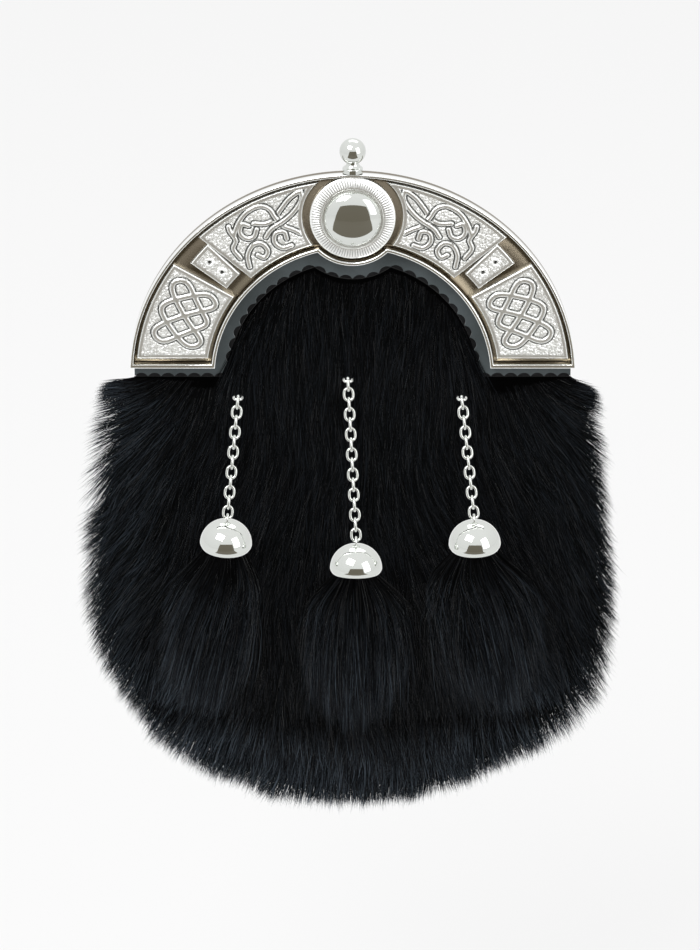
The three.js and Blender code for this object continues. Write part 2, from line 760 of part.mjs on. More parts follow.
function makeChain(tassel) {
  const { top, bottom } = chainLine(tassel);
  const down = bottom.clone().sub(top);
  const step = (down.length() - 2 * linkHold) / (tassel.links - 1);
  down.normalize();
  const hang = new THREE.Quaternion().setFromUnitVectors(new THREE.Vector3(0, 0, -1), down);
  const up = new THREE.Vector3(0, 0, 1);
  const links = [];
  for (let i = 0; i < tassel.links; i += 1) {
    const turn = new THREE.Quaternion().setFromAxisAngle(up, radians(i % 2 ? link.faceOn : link.turned));
    const place = top.clone().addScaledVector(down, linkHold + step * i);
    const pose = new THREE.Matrix4().compose(place, hang.clone().multiply(turn), new THREE.Vector3(1, 1, 1));
    links.push(linkGeometry().applyMatrix4(pose));
  }
  return mesh(`chain_${tassel.name}`, fused(links), chrome);
}

// A bent wire that stands out of the hide and holds the top link
function makeStaple(tassel) {
  const { top } = chainLine(tassel);
  const hideY = boardFrontY - gap - furBase - bulgeAt(top.x, top.z) - gap;
  const middleY = (hideY + top.y) / 2;
  const feet = [[1, hideY], [1, middleY], [staple.shoulder, top.y]];
  const line = [...feet, ...feet.map(([side, y]) => [-side, y]).reverse()];
  const points = line.map(([side, y]) => new THREE.Vector3(top.x - side * staple.halfWide, y, top.z));
  const path = new THREE.CatmullRomCurve3(points);
  return mesh(`staple_${tassel.name}`, wireAlong(path, wire / 2, staple.steps), chrome);
}

// Frame of a tassel: its origin is the centre of the cap's widest circle, and its +Z runs up to the eyelet
function tasselGroup(tassel) {
  const { bottom } = chainLine(tassel);
  const group = new THREE.Group();
  group.rotation.set(radians(-tassel.lean), radians(tassel.roll), 0, 'YXZ');
  const up = new THREE.Vector3(0, 0, capHeight + eyeletAboveCap).applyEuler(group.rotation);
  group.position.copy(bottom).sub(up);
  return group;
}

function makeCap(tassel) {
  const profile = [
    [0, capHeight - capWall], [7.6, capHeight * 0.42], [capRadius - capWall, 0.2], [8.9 - capWall, -capTuck],
    [8.9, -capTuck], [capRadius, 0], [8.8, capHeight * 0.44], [5.4, capHeight * 0.84], [0, capHeight],
  ];
  const dome = new THREE.LatheGeometry(profile.map(([r, z]) => new THREE.Vector2(r, z)), 10);
  dome.rotateX(Math.PI / 2);
  const points = arc(0, capHeight + eyeletAboveCap - eyeletRadius, eyeletRadius, eyeletRadius, 0, 315, 7)
    .map((point) => new THREE.Vector3(point.x, 0, point.y));
  const ring = ringOfWire(points);
  ring.rotateZ(Math.PI / 2);
  return mesh(`tassel_cap_${tassel.name}`, fused([dome, ring]), chrome);
}

// A place in a tassel's fur: its angle round the tassel, its spread, and its share of a length
function inBrush(tassel, angle, spread, length, share) {
  const leanBack = Math.tan(radians(tassel.lean));
  const forward = brush.forward * Math.min(1, 2.5 * share);
  return new THREE.Vector3(
    Math.cos(angle) * spread + tassel.swing * share ** 2,
    Math.sin(angle) * spread * brush.flat - forward + leanBack * length * share,
    -capTuck - length * share,
  );
}

// The heart of a tassel's fur: its head fills the cap, and it ends in a point
function brushHeart(tassel) {
  const length = tassel.length * brush.heartLength;
  const turns = Array.from({ length: brush.sides }, (_, k) => 2 * Math.PI * k / brush.sides);
  const top = new THREE.Vector3(0, 0, brush.headUp);
  const head = [[brush.headTop, brush.headUp], [brush.headRadius, 0]].map(([radius, z]) => (
    turns.map((turn) => new THREE.Vector3(Math.cos(turn) * radius, Math.sin(turn) * radius, z))
  ));
  const rows = brushRows.map((row) => (
    turns.map((turn) => inBrush(tassel, turn, tassel.half * row.heart, length, row.share))
  ));
  return loft(top, [...head, ...rows], inBrush(tassel, 0, 0, length, 1));
}

// One pointed lock of a tassel
function brushLock(tassel, i) {
  const angle = 2 * Math.PI * (i + 0.25) / brush.locks;
  const spread = tassel.half * (0.62 + 0.1 * (i % 3));
  const length = tassel.length * (0.86 + 0.07 * ((i * 2) % 3));
  const rings = brushRows.map((row) => {
    const middle = inBrush(tassel, angle, spread * row.out, length, row.share);
    return arc(middle.x, middle.y, row.thick, row.thick * 0.8, 0, 270, 3)
      .map((point) => new THREE.Vector3(point.x, point.y, middle.z));
  });
  const start = inBrush(tassel, angle, spread * 0.1, length, 0.005);
  return loft(start, rings, inBrush(tassel, angle, spread * 1.12, length, 1));
}

function makeTasselFur(tassel) {
  const pieces = [brushHeart(tassel)];
  for (let i = 0; i < brush.locks; i += 1) {
    pieces.push(brushLock(tassel, i));
  }
  return mesh(`tassel_fur_${tassel.name}`, fused(pieces), blackFur);
}

function makeTassel(tassel) {
  const group = tasselGroup(tassel);
  group.add(makeCap(tassel), makeTasselFur(tassel));
  return group;
}

const sporran = new THREE.Group();
sporran.add(makeCantle(), makeBoss(), makeKnob(), makeCantleLeather());
sporran.add(makeFrontBoard(), makeGusset(), makeBackPanel(), makeFurFront());
sporran.add(makeBeltLoop('belt_loop_left', -loop.x), makeBeltLoop('belt_loop_right', loop.x));
for (const tassel of tassels) {
  sporran.add(makeStaple(tassel), makeChain(tassel), makeTassel(tassel));
}

export default sporran;
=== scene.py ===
import math

import bpy
import numpy as np
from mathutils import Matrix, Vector
from mathutils.geometry import tessellate_polygon


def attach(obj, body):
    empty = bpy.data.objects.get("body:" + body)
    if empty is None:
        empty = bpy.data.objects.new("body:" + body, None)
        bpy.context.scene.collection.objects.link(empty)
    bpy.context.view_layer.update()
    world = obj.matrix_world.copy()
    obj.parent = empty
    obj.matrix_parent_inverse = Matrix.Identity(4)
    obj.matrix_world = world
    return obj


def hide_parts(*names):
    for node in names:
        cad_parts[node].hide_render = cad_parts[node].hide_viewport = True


# Full-dress sporran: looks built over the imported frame. Lengths in the tables are millimetres.
# X runs to the viewer's right, -Y faces the viewer, +Z is up.

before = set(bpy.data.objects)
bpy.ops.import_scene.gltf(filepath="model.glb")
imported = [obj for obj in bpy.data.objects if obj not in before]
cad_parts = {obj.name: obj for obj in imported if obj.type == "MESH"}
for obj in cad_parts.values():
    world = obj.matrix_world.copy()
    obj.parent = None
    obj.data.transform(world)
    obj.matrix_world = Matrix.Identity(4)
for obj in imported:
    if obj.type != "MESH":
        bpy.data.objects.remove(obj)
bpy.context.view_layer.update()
print("frame loaded")

# Sizes shared with the frame

layers = {
    "gap": 0.3, "leather": 2.0, "gusset": 15.7, "edging": 1.4,
    "plate": 1.8, "rim": 3.4, "panel": 2.3,
}
boardBackY = -(layers["leather"] + layers["gusset"] + 2 * layers["gap"])
boardFrontY = boardBackY - layers["leather"]
edgingBackY = boardFrontY - layers["gap"]
edgingFrontY = edgingBackY - layers["edging"]
cantleBackY = edgingFrontY - layers["gap"]
cantlePlateY = cantleBackY - layers["plate"]
cantleFrontY = cantlePlateY - layers["rim"]

arch = {
    "centreZ": -22.0, "outerX": 82.6, "outerZ": 79.4, "inner": 51.2, "foot": 4.0,
    "bossUp": 62.7, "bossBulge": 18.3, "bossRadius": 15.6,
    "outerRim": 1.2, "footRim": 1.5, "innerRim": 1.3, "rimRound": 0.42,
}
pouch = {
    "halfWidth": 93.5, "widestZ": -92.0, "lowerHeight": 84.0, "upperHeight": 180.0,
    "archInset": 2.2, "backInset": 1.4, "backArch": 60.0,
    "bellyHeight": 15.0, "bellyRadius": 89.0, "bellyZ": -78.0,
}
edging = {"wide": 4.6, "drop": 2.4, "belowFoot": 5.3, "inset": 1.4, "pitch": 5.2, "deep": 1.4, "biteSteps": 8}


# Mesh helpers

def unit(v):
    return v / np.maximum(np.linalg.norm(v, axis=-1, keepdims=True), 1e-9)


def smoothStep(low, high, value):
    t = np.clip((value - low) / (high - low), 0, 1)
    return t * t * (3 - 2 * t)


# Points and faces that are gathered into one mesh
class Shape:
    def __init__(self):
        self.points, self.faces, self.fields, self.count = [], [], {}, 0

    def add(self, points, faces, **fields):
        points = np.asarray(points, float).reshape(-1, 3)
        for name in set(self.fields) | set(fields):
            before = self.fields.setdefault(name, [np.zeros(self.count)])
            value = np.asarray(fields.get(name, 0.0), float).ravel()
            before.append(np.full(len(points), value[0]) if len(value) == 1 else value)
        self.points.append(points)
        self.faces.extend(np.asarray(f, np.int64) + self.count for f in faces)
        self.count += len(points)

    def mesh(self, name, material, sharp=40.0):
        points = np.concatenate(self.points)
        loops = np.concatenate([f.ravel() for f in self.faces]).astype(np.int32)
        totals = np.concatenate([np.full(f.shape[0], f.shape[1]) for f in self.faces])
        starts = np.concatenate([[0], np.cumsum(totals)[:-1]]).astype(np.int32)
        data = bpy.data.meshes.new(name)
        data.vertices.add(len(points))
        data.vertices.foreach_set("co", (points * 0.001).astype(np.float32).ravel())
        data.loops.add(len(loops))
        data.loops.foreach_set("vertex_index", loops)
        data.polygons.add(len(starts))
        data.polygons.foreach_set("loop_start", starts)
        data.polygons.foreach_set("use_smooth", np.ones(len(starts), bool))
        for fieldName, parts in self.fields.items():
            layer = data.attributes.new(fieldName, "FLOAT", "POINT")
            layer.data.foreach_set("value", np.concatenate(parts).astype(np.float32))
        data.update(calc_edges=True)
        if sharp:
            data.set_sharp_from_angle(angle=math.radians(sharp))
        data.materials.append(material)
        made = bpy.data.objects.new(name, data)
        bpy.context.scene.collection.objects.link(made)
        return made


# Quads between rows of points; the columns close on themselves if asked
def bandFaces(rows, columns, closed=True):
    spans = columns if closed else columns - 1
    r, c = np.meshgrid(np.arange(rows - 1), np.arange(spans), indexing="ij")
    n = (c + 1) % columns
    near, far = r * columns, (r + 1) * columns
    return np.stack([near + c, near + n, far + n, far + c], -1).reshape(-1, 4)


# Faces of a closed body, with their outer side facing out
def turnedOut(points, faces):
    points = np.asarray(points).reshape(-1, 3)
    volume = 0.0
    for f in faces:
        for k in range(1, f.shape[1] - 1):
            spans = np.cross(points[f[:, k]], points[f[:, k + 1]])
            volume += np.einsum("ij,ij->i", points[f[:, 0]], spans).sum()
    return [f[:, ::-1] for f in faces] if volume < 0 else faces


# Triangles that fill a flat ring of points
def endFaces(ring):
    return np.array(tessellate_polygon([[Vector(point) for point in ring]]))


# Turns the triangles at an end so that they run against the edges they share with the band
def facedLike(band, ends):
    edges = {(a, b) for face in band for a, b in zip(face, np.roll(face, -1))}
    shared = [(a, b) in edges for face in ends for a, b in zip(face, np.roll(face, -1))]
    return ends[:, ::-1] if any(shared) else ends


# A closed body through rings of equal count, with a flat face at each end
def loft(shape, rings, **fields):
    rings = np.asarray(rings, float)
    rows, columns = rings.shape[:2]
    first, last = endFaces(rings[0]), (rows - 1) * columns + endFaces(rings[-1])
    band = bandFaces(rows, columns)
    shape.add(rings, turnedOut(rings, [band, facedLike(band, first), facedLike(band, last)]), **fields)


def counterClockwise(outline):
    outline = np.asarray(outline, float)
    x, z = outline[:, 0], outline[:, 1]
    area = np.sum(x * np.roll(z, -1) - z * np.roll(x, -1))
    return outline if area > 0 else outline[::-1]


# A counterclockwise outline moved inwards by a length, with mitred corners
def drawnIn(outline, inset):
    before = unit(outline - np.roll(outline, 1, 0))
    after = unit(np.roll(outline, -1, 0) - outline)
    first = np.stack([-before[:, 1], before[:, 0]], 1)
    second = np.stack([-after[:, 1], after[:, 0]], 1)
    middle = unit(first + second)
    reach = np.maximum(np.einsum("ij,ij->i", middle, first), 0.45)
    return outline + middle * (inset / reach)[:, None]


# A plate with rounded edges. Its outline is in X and Z, and place can turn it another way
def slab(shape, outline, backY, frontY, rounding=0.3, steps=3, place=None, **fields):
    outline = counterClockwise(outline)
    turns = np.linspace(0, math.pi / 2, steps + 1)
    rows = [(rounding * (1 - math.cos(a)), rounding * (1 - math.sin(a))) for a in turns]
    rings = []
    for inset, back in [(rounding + 0.25, 0.0)] + rows[::-1]:
        rings.append((inset, backY - back))
    for inset, back in rows + [(rounding + 0.25, 0.0)]:
        rings.append((inset, frontY + back))
    made = []
    for inset, y in rings:
        flat = drawnIn(outline, inset)
        made.append(np.stack([flat[:, 0], np.full(len(flat), y), flat[:, 1]], 1))
    made = np.array(made)
    if place is not None:
        made = place(made)
    loft(shape, made, **fields)


# A turned body: profile rows are (radius, height) from one pole or edge to the other
def lathe(shape, profile, sides, place=None, **fields):
    profile = np.asarray(profile, float)
    angle = np.linspace(0, 2 * math.pi, sides, endpoint=False)
    radius = np.maximum(profile[:, 0], 0.002)
    rings = np.stack([
        radius[:, None] * np.cos(angle), radius[:, None] * np.sin(angle),
        np.repeat(profile[:, 1][:, None], sides, 1),
    ], -1)
    if place is not None:
        rings = place(rings)
    loft(shape, rings, **fields)


# A round wire along a path of points
def tube(shape, path, radius, sides=12, closed=False, **fields):
    path = np.asarray(path, float)
    if closed:
        along = unit(np.roll(path, -1, 0) - np.roll(path, 1, 0))
    else:
        along = unit(np.gradient(path, axis=0))
    side = np.zeros_like(path)
    guide = np.array([0.0, 0.0, 1.0]) if abs(along[0, 2]) < 0.9 else np.array([0.0, 1.0, 0.0])
    for i, direction in enumerate(along):
        guide = guide - direction * guide.dot(direction)
        guide = guide / np.linalg.norm(guide)
        side[i] = guide
    other = np.cross(along, side)
    angle = np.linspace(0, 2 * math.pi, sides, endpoint=False)
    rings = path[:, None] + radius * (np.cos(angle)[None, :, None] * side[:, None]
                                      + np.sin(angle)[None, :, None] * other[:, None])
    if closed:
        rings = np.concatenate([rings, rings[:1]])
        faces = turnedOut(rings, [bandFaces(len(rings), sides)])
        shape.add(rings, faces, **fields)
    else:
        loft(shape, rings, **fields)


def arcPoints(centreX, centreZ, radiusX, radiusZ, fromDeg, toDeg, steps):
    angle = np.radians(np.linspace(fromDeg, toDeg, steps + 1))
    return np.stack([centreX + radiusX * np.cos(angle), centreZ + radiusZ * np.sin(angle)], 1)


def archArc(radiusX, radiusZ, fromDeg, toDeg, steps):
    return arcPoints(0, arch["centreZ"], radiusX, radiusZ, fromDeg, toDeg, steps)


# Distance from points to a line of points, and the length along the line where they are nearest
def distanceTo(points, line):
    start, end = line[:-1], line[1:]
    step = end - start
    size = np.maximum((step ** 2).sum(1), 1e-12)
    along = np.concatenate([[0], np.cumsum(np.sqrt(size))])
    best = np.full(len(points), 1e9)
    where = np.zeros(len(points))
    for i in range(len(start)):
        t = ((points - start[i]) @ step[i]) / size[i]
        held = np.clip(t, 0, 1)
        gapTo = np.hypot(*(points - start[i] - held[:, None] * step[i]).T)
        near = gapTo < best
        best[near] = gapTo[near]
        where[near] = along[i] + held[near] * math.sqrt(size[i])
    return best, where, along[-1]


# True for points within a closed outline
def insideOf(points, outline):
    inside = np.zeros(len(points), bool)
    x, z = points[:, 0], points[:, 1]
    for (x1, z1), (x2, z2) in zip(outline, np.roll(outline, -1, 0)):
        crosses = (z1 > z) != (z2 > z)
        with np.errstate(divide="ignore", invalid="ignore"):
            at = x1 + (z - z1) * (x2 - x1) / (z2 - z1 if z2 != z1 else 1e-9)
        inside ^= crosses & (x < at)
    return inside


# Signed distance from a closed outline: above zero outside it
def beyond(points, outline):
    closed = np.concatenate([outline, outline[:1]])
    away = distanceTo(points, closed)[0]
    return np.where(insideOf(points, outline), -away, away)


# Catmull-Rom line through points
def smoothLine(points, perSpan=8, closed=False):
    points = np.asarray(points, float)
    if closed:
        padded = np.concatenate([points[-1:], points, points[:2]])
    else:
        padded = np.concatenate([2 * points[:1] - points[1:2], points, 2 * points[-1:] - points[-2:-1]])
    t = np.linspace(0, 1, perSpan, endpoint=False)[:, None]
    out = []
    for i in range(len(padded) - 3):
        a, b, c, d = padded[i:i + 4]
        bend, twist = 2 * a - 5 * b + 4 * c - d, 3 * b - a - 3 * c + d
        out.append(0.5 * (2 * b + (c - a) * t + bend * t ** 2 + twist * t ** 3))
    line = np.concatenate(out)
    return line if closed else np.concatenate([line, padded[-2:-1]])


# Materials

def newMaterial(name):
    made = bpy.data.materials.new(name)
    made.use_nodes = True
    tree = made.node_tree
    return made, tree, tree.nodes["Principled BSDF"]


def addNode(tree, kind, **values):
    made = tree.nodes.new(kind)
    for key, value in values.items():
        if hasattr(made, key):
            setattr(made, key, value)
        else:
            made.inputs[key.replace("_", " ")].default_value = value
    return made


def mixNode(tree, low, high, factor, colour=True):
    made = tree.nodes.new("ShaderNodeMix")
    made.data_type = "RGBA" if colour else "FLOAT"
    pair = [s for s in made.inputs if s.name in ("A", "B") and s.type == ("RGBA" if colour else "VALUE")]
    for socket, value in zip(pair, (low, high)):
        if isinstance(value, bpy.types.NodeSocket):
            tree.links.new(value, socket)
        else:
            socket.default_value = value
    factorSocket = next(s for s in made.inputs if s.name == "Factor" and s.type == "VALUE")
    tree.links.new(factor, factorSocket)
    return next(s for s in made.outputs if s.type == ("RGBA" if colour else "VALUE"))


def rampNode(tree, source, low, high, outLow=0.0, outHigh=1.0):
    made = addNode(tree, "ShaderNodeMapRange")
    for key, value in (("From Min", low), ("From Max", high), ("To Min", outLow), ("To Max", outHigh)):
        made.inputs[key].default_value = value
    tree.links.new(source, made.inputs["Value"])
    return made.outputs["Result"]


def newGroup(name, inputs, outputs):
    group = bpy.data.node_groups.new(name, "ShaderNodeTree")
    for socketName, kind, value in inputs:
        socket = group.interface.new_socket(socketName, in_out="INPUT", socket_type=kind)
        socket.default_value = value
    for socketName, kind in outputs:
        group.interface.new_socket(socketName, in_out="OUTPUT", socket_type=kind)
    return group, group.nodes.new("NodeGroupInput"), group.nodes.new("NodeGroupOutput")


# Pebbled grain with fine pores and slow patches of tone
def leatherGrainGroup():
    group, start, end = newGroup(
        "leatherGrain",
        [("Pebble Scale", "NodeSocketFloat", 900.0), ("Pore Scale", "NodeSocketFloat", 3600.0),
         ("Pore Share", "NodeSocketFloat", 0.35)],
        [("Height", "NodeSocketFloat"), ("Patch", "NodeSocketFloat")],
    )
    place = addNode(group, "ShaderNodeTexCoord").outputs["Object"]
    pebble = addNode(group, "ShaderNodeTexVoronoi", feature="SMOOTH_F1")
    pore = addNode(group, "ShaderNodeTexNoise", Detail=4.0, Roughness=0.6)
    patch = addNode(group, "ShaderNodeTexNoise", Scale=70.0, Detail=3.0)
    for node in (pebble, pore, patch):
        group.links.new(place, node.inputs["Vector"])
    group.links.new(start.outputs["Pebble Scale"], pebble.inputs["Scale"])
    group.links.new(start.outputs["Pore Scale"], pore.inputs["Scale"])
    share = start.outputs["Pore Share"]
    total = mixNode(group, pebble.outputs["Distance"], pore.outputs["Fac"], share, colour=False)
    group.links.new(total, end.inputs["Height"])
    group.links.new(patch.outputs["Fac"], end.inputs["Patch"])
    return group


# Fine polishing marks and slow clouding of a metal surface
def metalWearGroup():
    group, start, end = newGroup(
        "metalWear",
        [("Cloud Scale", "NodeSocketFloat", 60.0), ("Mark Scale", "NodeSocketFloat", 2500.0)],
        [("Cloud", "NodeSocketFloat"), ("Marks", "NodeSocketFloat")],
    )
    place = addNode(group, "ShaderNodeTexCoord").outputs["Object"]
    cloud = addNode(group, "ShaderNodeTexNoise", Detail=4.0, Roughness=0.55)
    marks = addNode(group, "ShaderNodeTexNoise", Detail=3.0, Roughness=0.7)
    for node, scale in ((cloud, "Cloud Scale"), (marks, "Mark Scale")):
        group.links.new(place, node.inputs["Vector"])
        group.links.new(start.outputs[scale], node.inputs["Scale"])
    group.links.new(cloud.outputs["Fac"], end.inputs["Cloud"])
    group.links.new(marks.outputs["Fac"], end.inputs["Marks"])
    return group


def useGroup(tree, group, values=None):
    made = tree.nodes.new("ShaderNodeGroup")
    made.node_tree = group
    for key, value in (values or {}).items():
        made.inputs[key].default_value = value
    return made


def bumpInto(tree, shader, height, strength, distance):
    made = addNode(tree, "ShaderNodeBump", Strength=strength, Distance=distance)
    tree.links.new(height, made.inputs["Height"])
    tree.links.new(made.outputs["Normal"], shader.inputs["Normal"])


silverLook = {
    "castColour": (0.97, 0.98, 0.965, 1), "polishedColour": (0.70, 0.72, 0.69, 1),
    "grooveShade": (0.13, 0.13, 0.12, 1), "plainRough": 0.07, "castRough": 0.38, "groundRough": 0.48,
    "polishedRough": 0.045, "stippleScale": 1250.0, "sunkBrown": (0.20, 0.17, 0.125, 1), "sunkBrownDepth": 0.9,
}
leatherLook = {
    "edging": (0.036, 0.047, 0.050, 1), "edgingPatch": (0.056, 0.070, 0.075, 1), "edgingRough": 0.6,
    "edgingSpecular": 0.5, "blackSpecular": 0.18,
    "black": (0.010, 0.010, 0.011, 1), "blackPatch": (0.020, 0.020, 0.022, 1), "blackRough": 0.5,
}
# Hair colours: root is painted shade deep in the coat, the tip and sheen colours are painted sheen
furLook = {
    "root": (0.0004, 0.0004, 0.0005, 1), "body": (0.0010, 0.0012, 0.0014, 1),
    "tip": (0.0022, 0.0026, 0.0032, 1), "sheen": (0.021, 0.026, 0.032, 1),
    "rough": 0.40, "specular": 0.018, "dimmest": 0.35, "brightest": 8.0, "rarity": 4.0,
}


def polishedSilver(wear):
    made, tree, shader = newMaterial("polishedSilver")
    shader.inputs["Metallic"].default_value = 1.0
    shader.inputs["Base Color"].default_value = silverLook["polishedColour"]
    worn = useGroup(tree, wear)
    base = silverLook["polishedRough"]
    rough = rampNode(tree, worn.outputs["Cloud"], 0.3, 0.7, base * 0.7, base * 1.6)
    tree.links.new(rough, shader.inputs["Roughness"])
    bumpInto(tree, shader, worn.outputs["Marks"], 0.05, 0.00002)
    return made


# Cast metal: painted shade darkens the grooves, the ground between the ribbons is stippled, and the sunk plain
# plate is painted brown
def castSilver(wear):
    made, tree, shader = newMaterial("castSilver")
    shader.inputs["Metallic"].default_value = 1.0
    worn = useGroup(tree, wear, {"Cloud Scale": 220.0, "Mark Scale": 3200.0})
    groove = addNode(tree, "ShaderNodeAttribute", attribute_name="groove").outputs["Fac"]
    ground = addNode(tree, "ShaderNodeAttribute", attribute_name="ground").outputs["Fac"]
    place = addNode(tree, "ShaderNodeTexCoord").outputs["Object"]
    stipple = addNode(tree, "ShaderNodeTexVoronoi", Scale=silverLook["stippleScale"])
    tree.links.new(place, stipple.inputs["Vector"])
    pits = rampNode(tree, stipple.outputs["Distance"], 0.1, 0.55)
    # The groove mask lays painted shade into the hollows beside the ribbons, between the boss's ribs and in the
    # plaque's pits
    shaded = mixNode(tree, silverLook["castColour"], silverLook["grooveShade"], groove)
    panel = addNode(tree, "ShaderNodeAttribute", attribute_name="panel").outputs["Fac"]
    height = addNode(tree, "ShaderNodeSeparateXYZ")
    tree.links.new(place, height.inputs[0])
    # The plain plate, sunk behind the rims and panels, is painted brown
    plate = cantlePlateY * 0.001
    sunk = rampNode(tree, height.outputs["Y"], plate - silverLook["sunkBrownDepth"] * 0.001, plate)
    plain = addNode(tree, "ShaderNodeMath", operation="SUBTRACT", use_clamp=True)
    tree.links.new(sunk, plain.inputs[0])
    tree.links.new(panel, plain.inputs[1])
    browned = mixNode(tree, shaded, silverLook["sunkBrown"], plain.outputs[0])
    tree.links.new(browned, shader.inputs["Base Color"])
    grainy = addNode(tree, "ShaderNodeMath", operation="MULTIPLY")
    tree.links.new(pits, grainy.inputs[0])
    tree.links.new(ground, grainy.inputs[1])
    fine = addNode(tree, "ShaderNodeMath", operation="MULTIPLY_ADD")
    tree.links.new(worn.outputs["Marks"], fine.inputs[0])
    fine.inputs[1].default_value = 0.25
    tree.links.new(grainy.outputs[0], fine.inputs[2])
    bumpInto(tree, shader, fine.outputs[0], 0.75, 0.0002)
    struck = mixNode(tree, silverLook["castRough"], silverLook["groundRough"], ground, colour=False)
    plainRough = addNode(tree, "ShaderNodeValue")
    plainRough.outputs[0].default_value = silverLook["plainRough"]
    rough = mixNode(tree, plainRough.outputs[0], struck, panel, colour=False)
    tree.links.new(rough, shader.inputs["Roughness"])
    return made


def leather(name, kind, bump):
    colour, patchColour, rough = (leatherLook[kind + part] for part in ("", "Patch", "Rough"))
    made, tree, shader = newMaterial(name)
    grained = useGroup(tree, grainGroup)
    patch = rampNode(tree, grained.outputs["Patch"], 0.35, 0.65)
    tree.links.new(mixNode(tree, colour, patchColour, patch), shader.inputs["Base Color"])
    worn = rampNode(tree, grained.outputs["Height"], 0.2, 0.8, rough * 1.15, rough * 0.85)
    tree.links.new(worn, shader.inputs["Roughness"])
    shader.inputs["Specular IOR Level"].default_value = leatherLook[kind + "Specular"]
    bumpInto(tree, shader, grained.outputs["Height"], bump, 0.0002)
    return made


# Hair: its tone runs from painted shade at the root to a lighter tip with painted sheen, and differs a little
# from one hair to the next
def furHair():
    made, tree, shader = newMaterial("furHair")
    along = addNode(tree, "ShaderNodeAttribute", attribute_name="along").outputs["Fac"]
    chance = addNode(tree, "ShaderNodeAttribute", attribute_name="chance").outputs["Fac"]
    lower = mixNode(tree, furLook["root"], furLook["body"], rampNode(tree, along, 0.0, 0.5))
    sheen = addNode(tree, "ShaderNodeAttribute", attribute_name="sheen").outputs["Fac"]
    tip = mixNode(tree, furLook["tip"], furLook["sheen"], sheen)
    upper = mixNode(tree, lower, tip, rampNode(tree, along, 0.35, 1.0))
    varied = addNode(tree, "ShaderNodeHueSaturation")
    tree.links.new(upper, varied.inputs["Color"])
    # Rare hairs are brightened many times over the rest: painted highlight streaks on top of the random tone
    # from hair to hair
    rare = addNode(tree, "ShaderNodeMath", operation="POWER")
    tree.links.new(chance, rare.inputs[0])
    rare.inputs[1].default_value = furLook["rarity"]
    tone = rampNode(tree, rare.outputs[0], 0.0, 1.0, furLook["dimmest"], furLook["brightest"])
    tree.links.new(tone, varied.inputs["Value"])
    tree.links.new(varied.outputs["Color"], shader.inputs["Base Color"])
    gloss = rampNode(tree, chance, 0.0, 1.0, furLook["rough"] * 1.25, furLook["rough"] * 0.8)
    tree.links.new(gloss, shader.inputs["Roughness"])
    shader.inputs["Specular IOR Level"].default_value = furLook["specular"]
    return made


wearGroup = metalWearGroup()
grainGroup = leatherGrainGroup()
looks = {
    "cast": castSilver(wearGroup),
    "polished": polishedSilver(wearGroup),
    "edging": leather("edgingLeather", "edging", 0.5),
    "black": leather("blackLeather", "black", 0.4),
    "hair": furHair(),
}


# Makes the piece, lets it ride with the pouch and stand for its CAD nodes
def finished(shape, name, look, nodes, sharp=40.0):
    made = shape.mesh(name, looks[look], sharp)
    made.visible_glossy = look not in ("hair", "black")
    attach(made, "root")
    if nodes:
        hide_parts(*nodes)
    return made


print("materials made")


# Cantle

# Where the arch's inner circle meets the circle round the boss, in degrees about each centre
def bossJunction(inner, bulge):
    up = arch["bossUp"]
    notch = math.acos((inner ** 2 + up ** 2 - bulge ** 2) / (2 * inner * up))
    bulgeFrom = math.atan2(inner * math.cos(notch) - up, inner * math.sin(notch))
    return math.degrees(notch), math.degrees(bulgeFrom)


def cantleOutline(outerInset, footInset, innerInset):
    outerX, outerZ = arch["outerX"] - outerInset, arch["outerZ"] - outerInset
    inner, bulge = arch["inner"] + innerInset, arch["bossBulge"] - innerInset
    foot = arch["foot"] + footInset
    outerFrom = math.degrees(math.asin(foot / outerZ))
    innerFrom = math.degrees(math.asin(foot / inner))
    notch, bulgeFrom = bossJunction(inner, bulge)
    return np.concatenate([
        archArc(outerX, outerZ, outerFrom, 180 - outerFrom, 150),
        archArc(inner, inner, 180 - innerFrom, 90 + notch, 44),
        arcPoints(0, arch["centreZ"] + arch["bossUp"], bulge, bulge, -180 - bulgeFrom, bulgeFrom, 34)[1:-1],
        archArc(inner, inner, 90 - notch, innerFrom, 44),
    ])


# Back plate and raised rim: rows of share of the rim's width and depth
def cantleBase(shape):
    turn = arch["rimRound"]
    rows = [(0.0, cantleBackY)]
    for a in np.linspace(0, math.pi / 2, 5):
        rows.append((turn * (1 - math.cos(a)), cantleFrontY + turn * (1 - math.sin(a))))
    for a in np.linspace(math.pi / 2, 0, 5):
        rows.append((1 - turn * (1 - math.cos(a)), cantleFrontY + turn * (1 - math.sin(a))))
    rows.append((1.0, cantlePlateY + 0.25))
    rows.append((1.2, cantlePlateY))
    rings = []
    for share, y in rows:
        flat = cantleOutline(arch["outerRim"] * share, arch["footRim"] * share, arch["innerRim"] * share)
        rings.append(np.stack([flat[:, 0], np.full(len(flat), y), flat[:, 1]], 1))
    loft(shape, rings)


knot = {
    "footWide": 2.05, "shoulderWide": 1.75, "groove": 0.42, "grooveDeep": 0.5, "ribbonHigh": 0.62,
    "sunk": 0.22, "border": 1.5, "edgeRound": 0.5, "cell": 0.27,
}
stipple = {"cell": 1.15, "wide": 0.4, "high": 0.3}
# Plait of the foot panel: turns along and across the panel, and the room it leaves at each edge
plait = {"inner": 56.2, "outer": 77.3, "low": 10.4, "high": 33.0, "across": 2, "along": 3, "phase": 0.125}
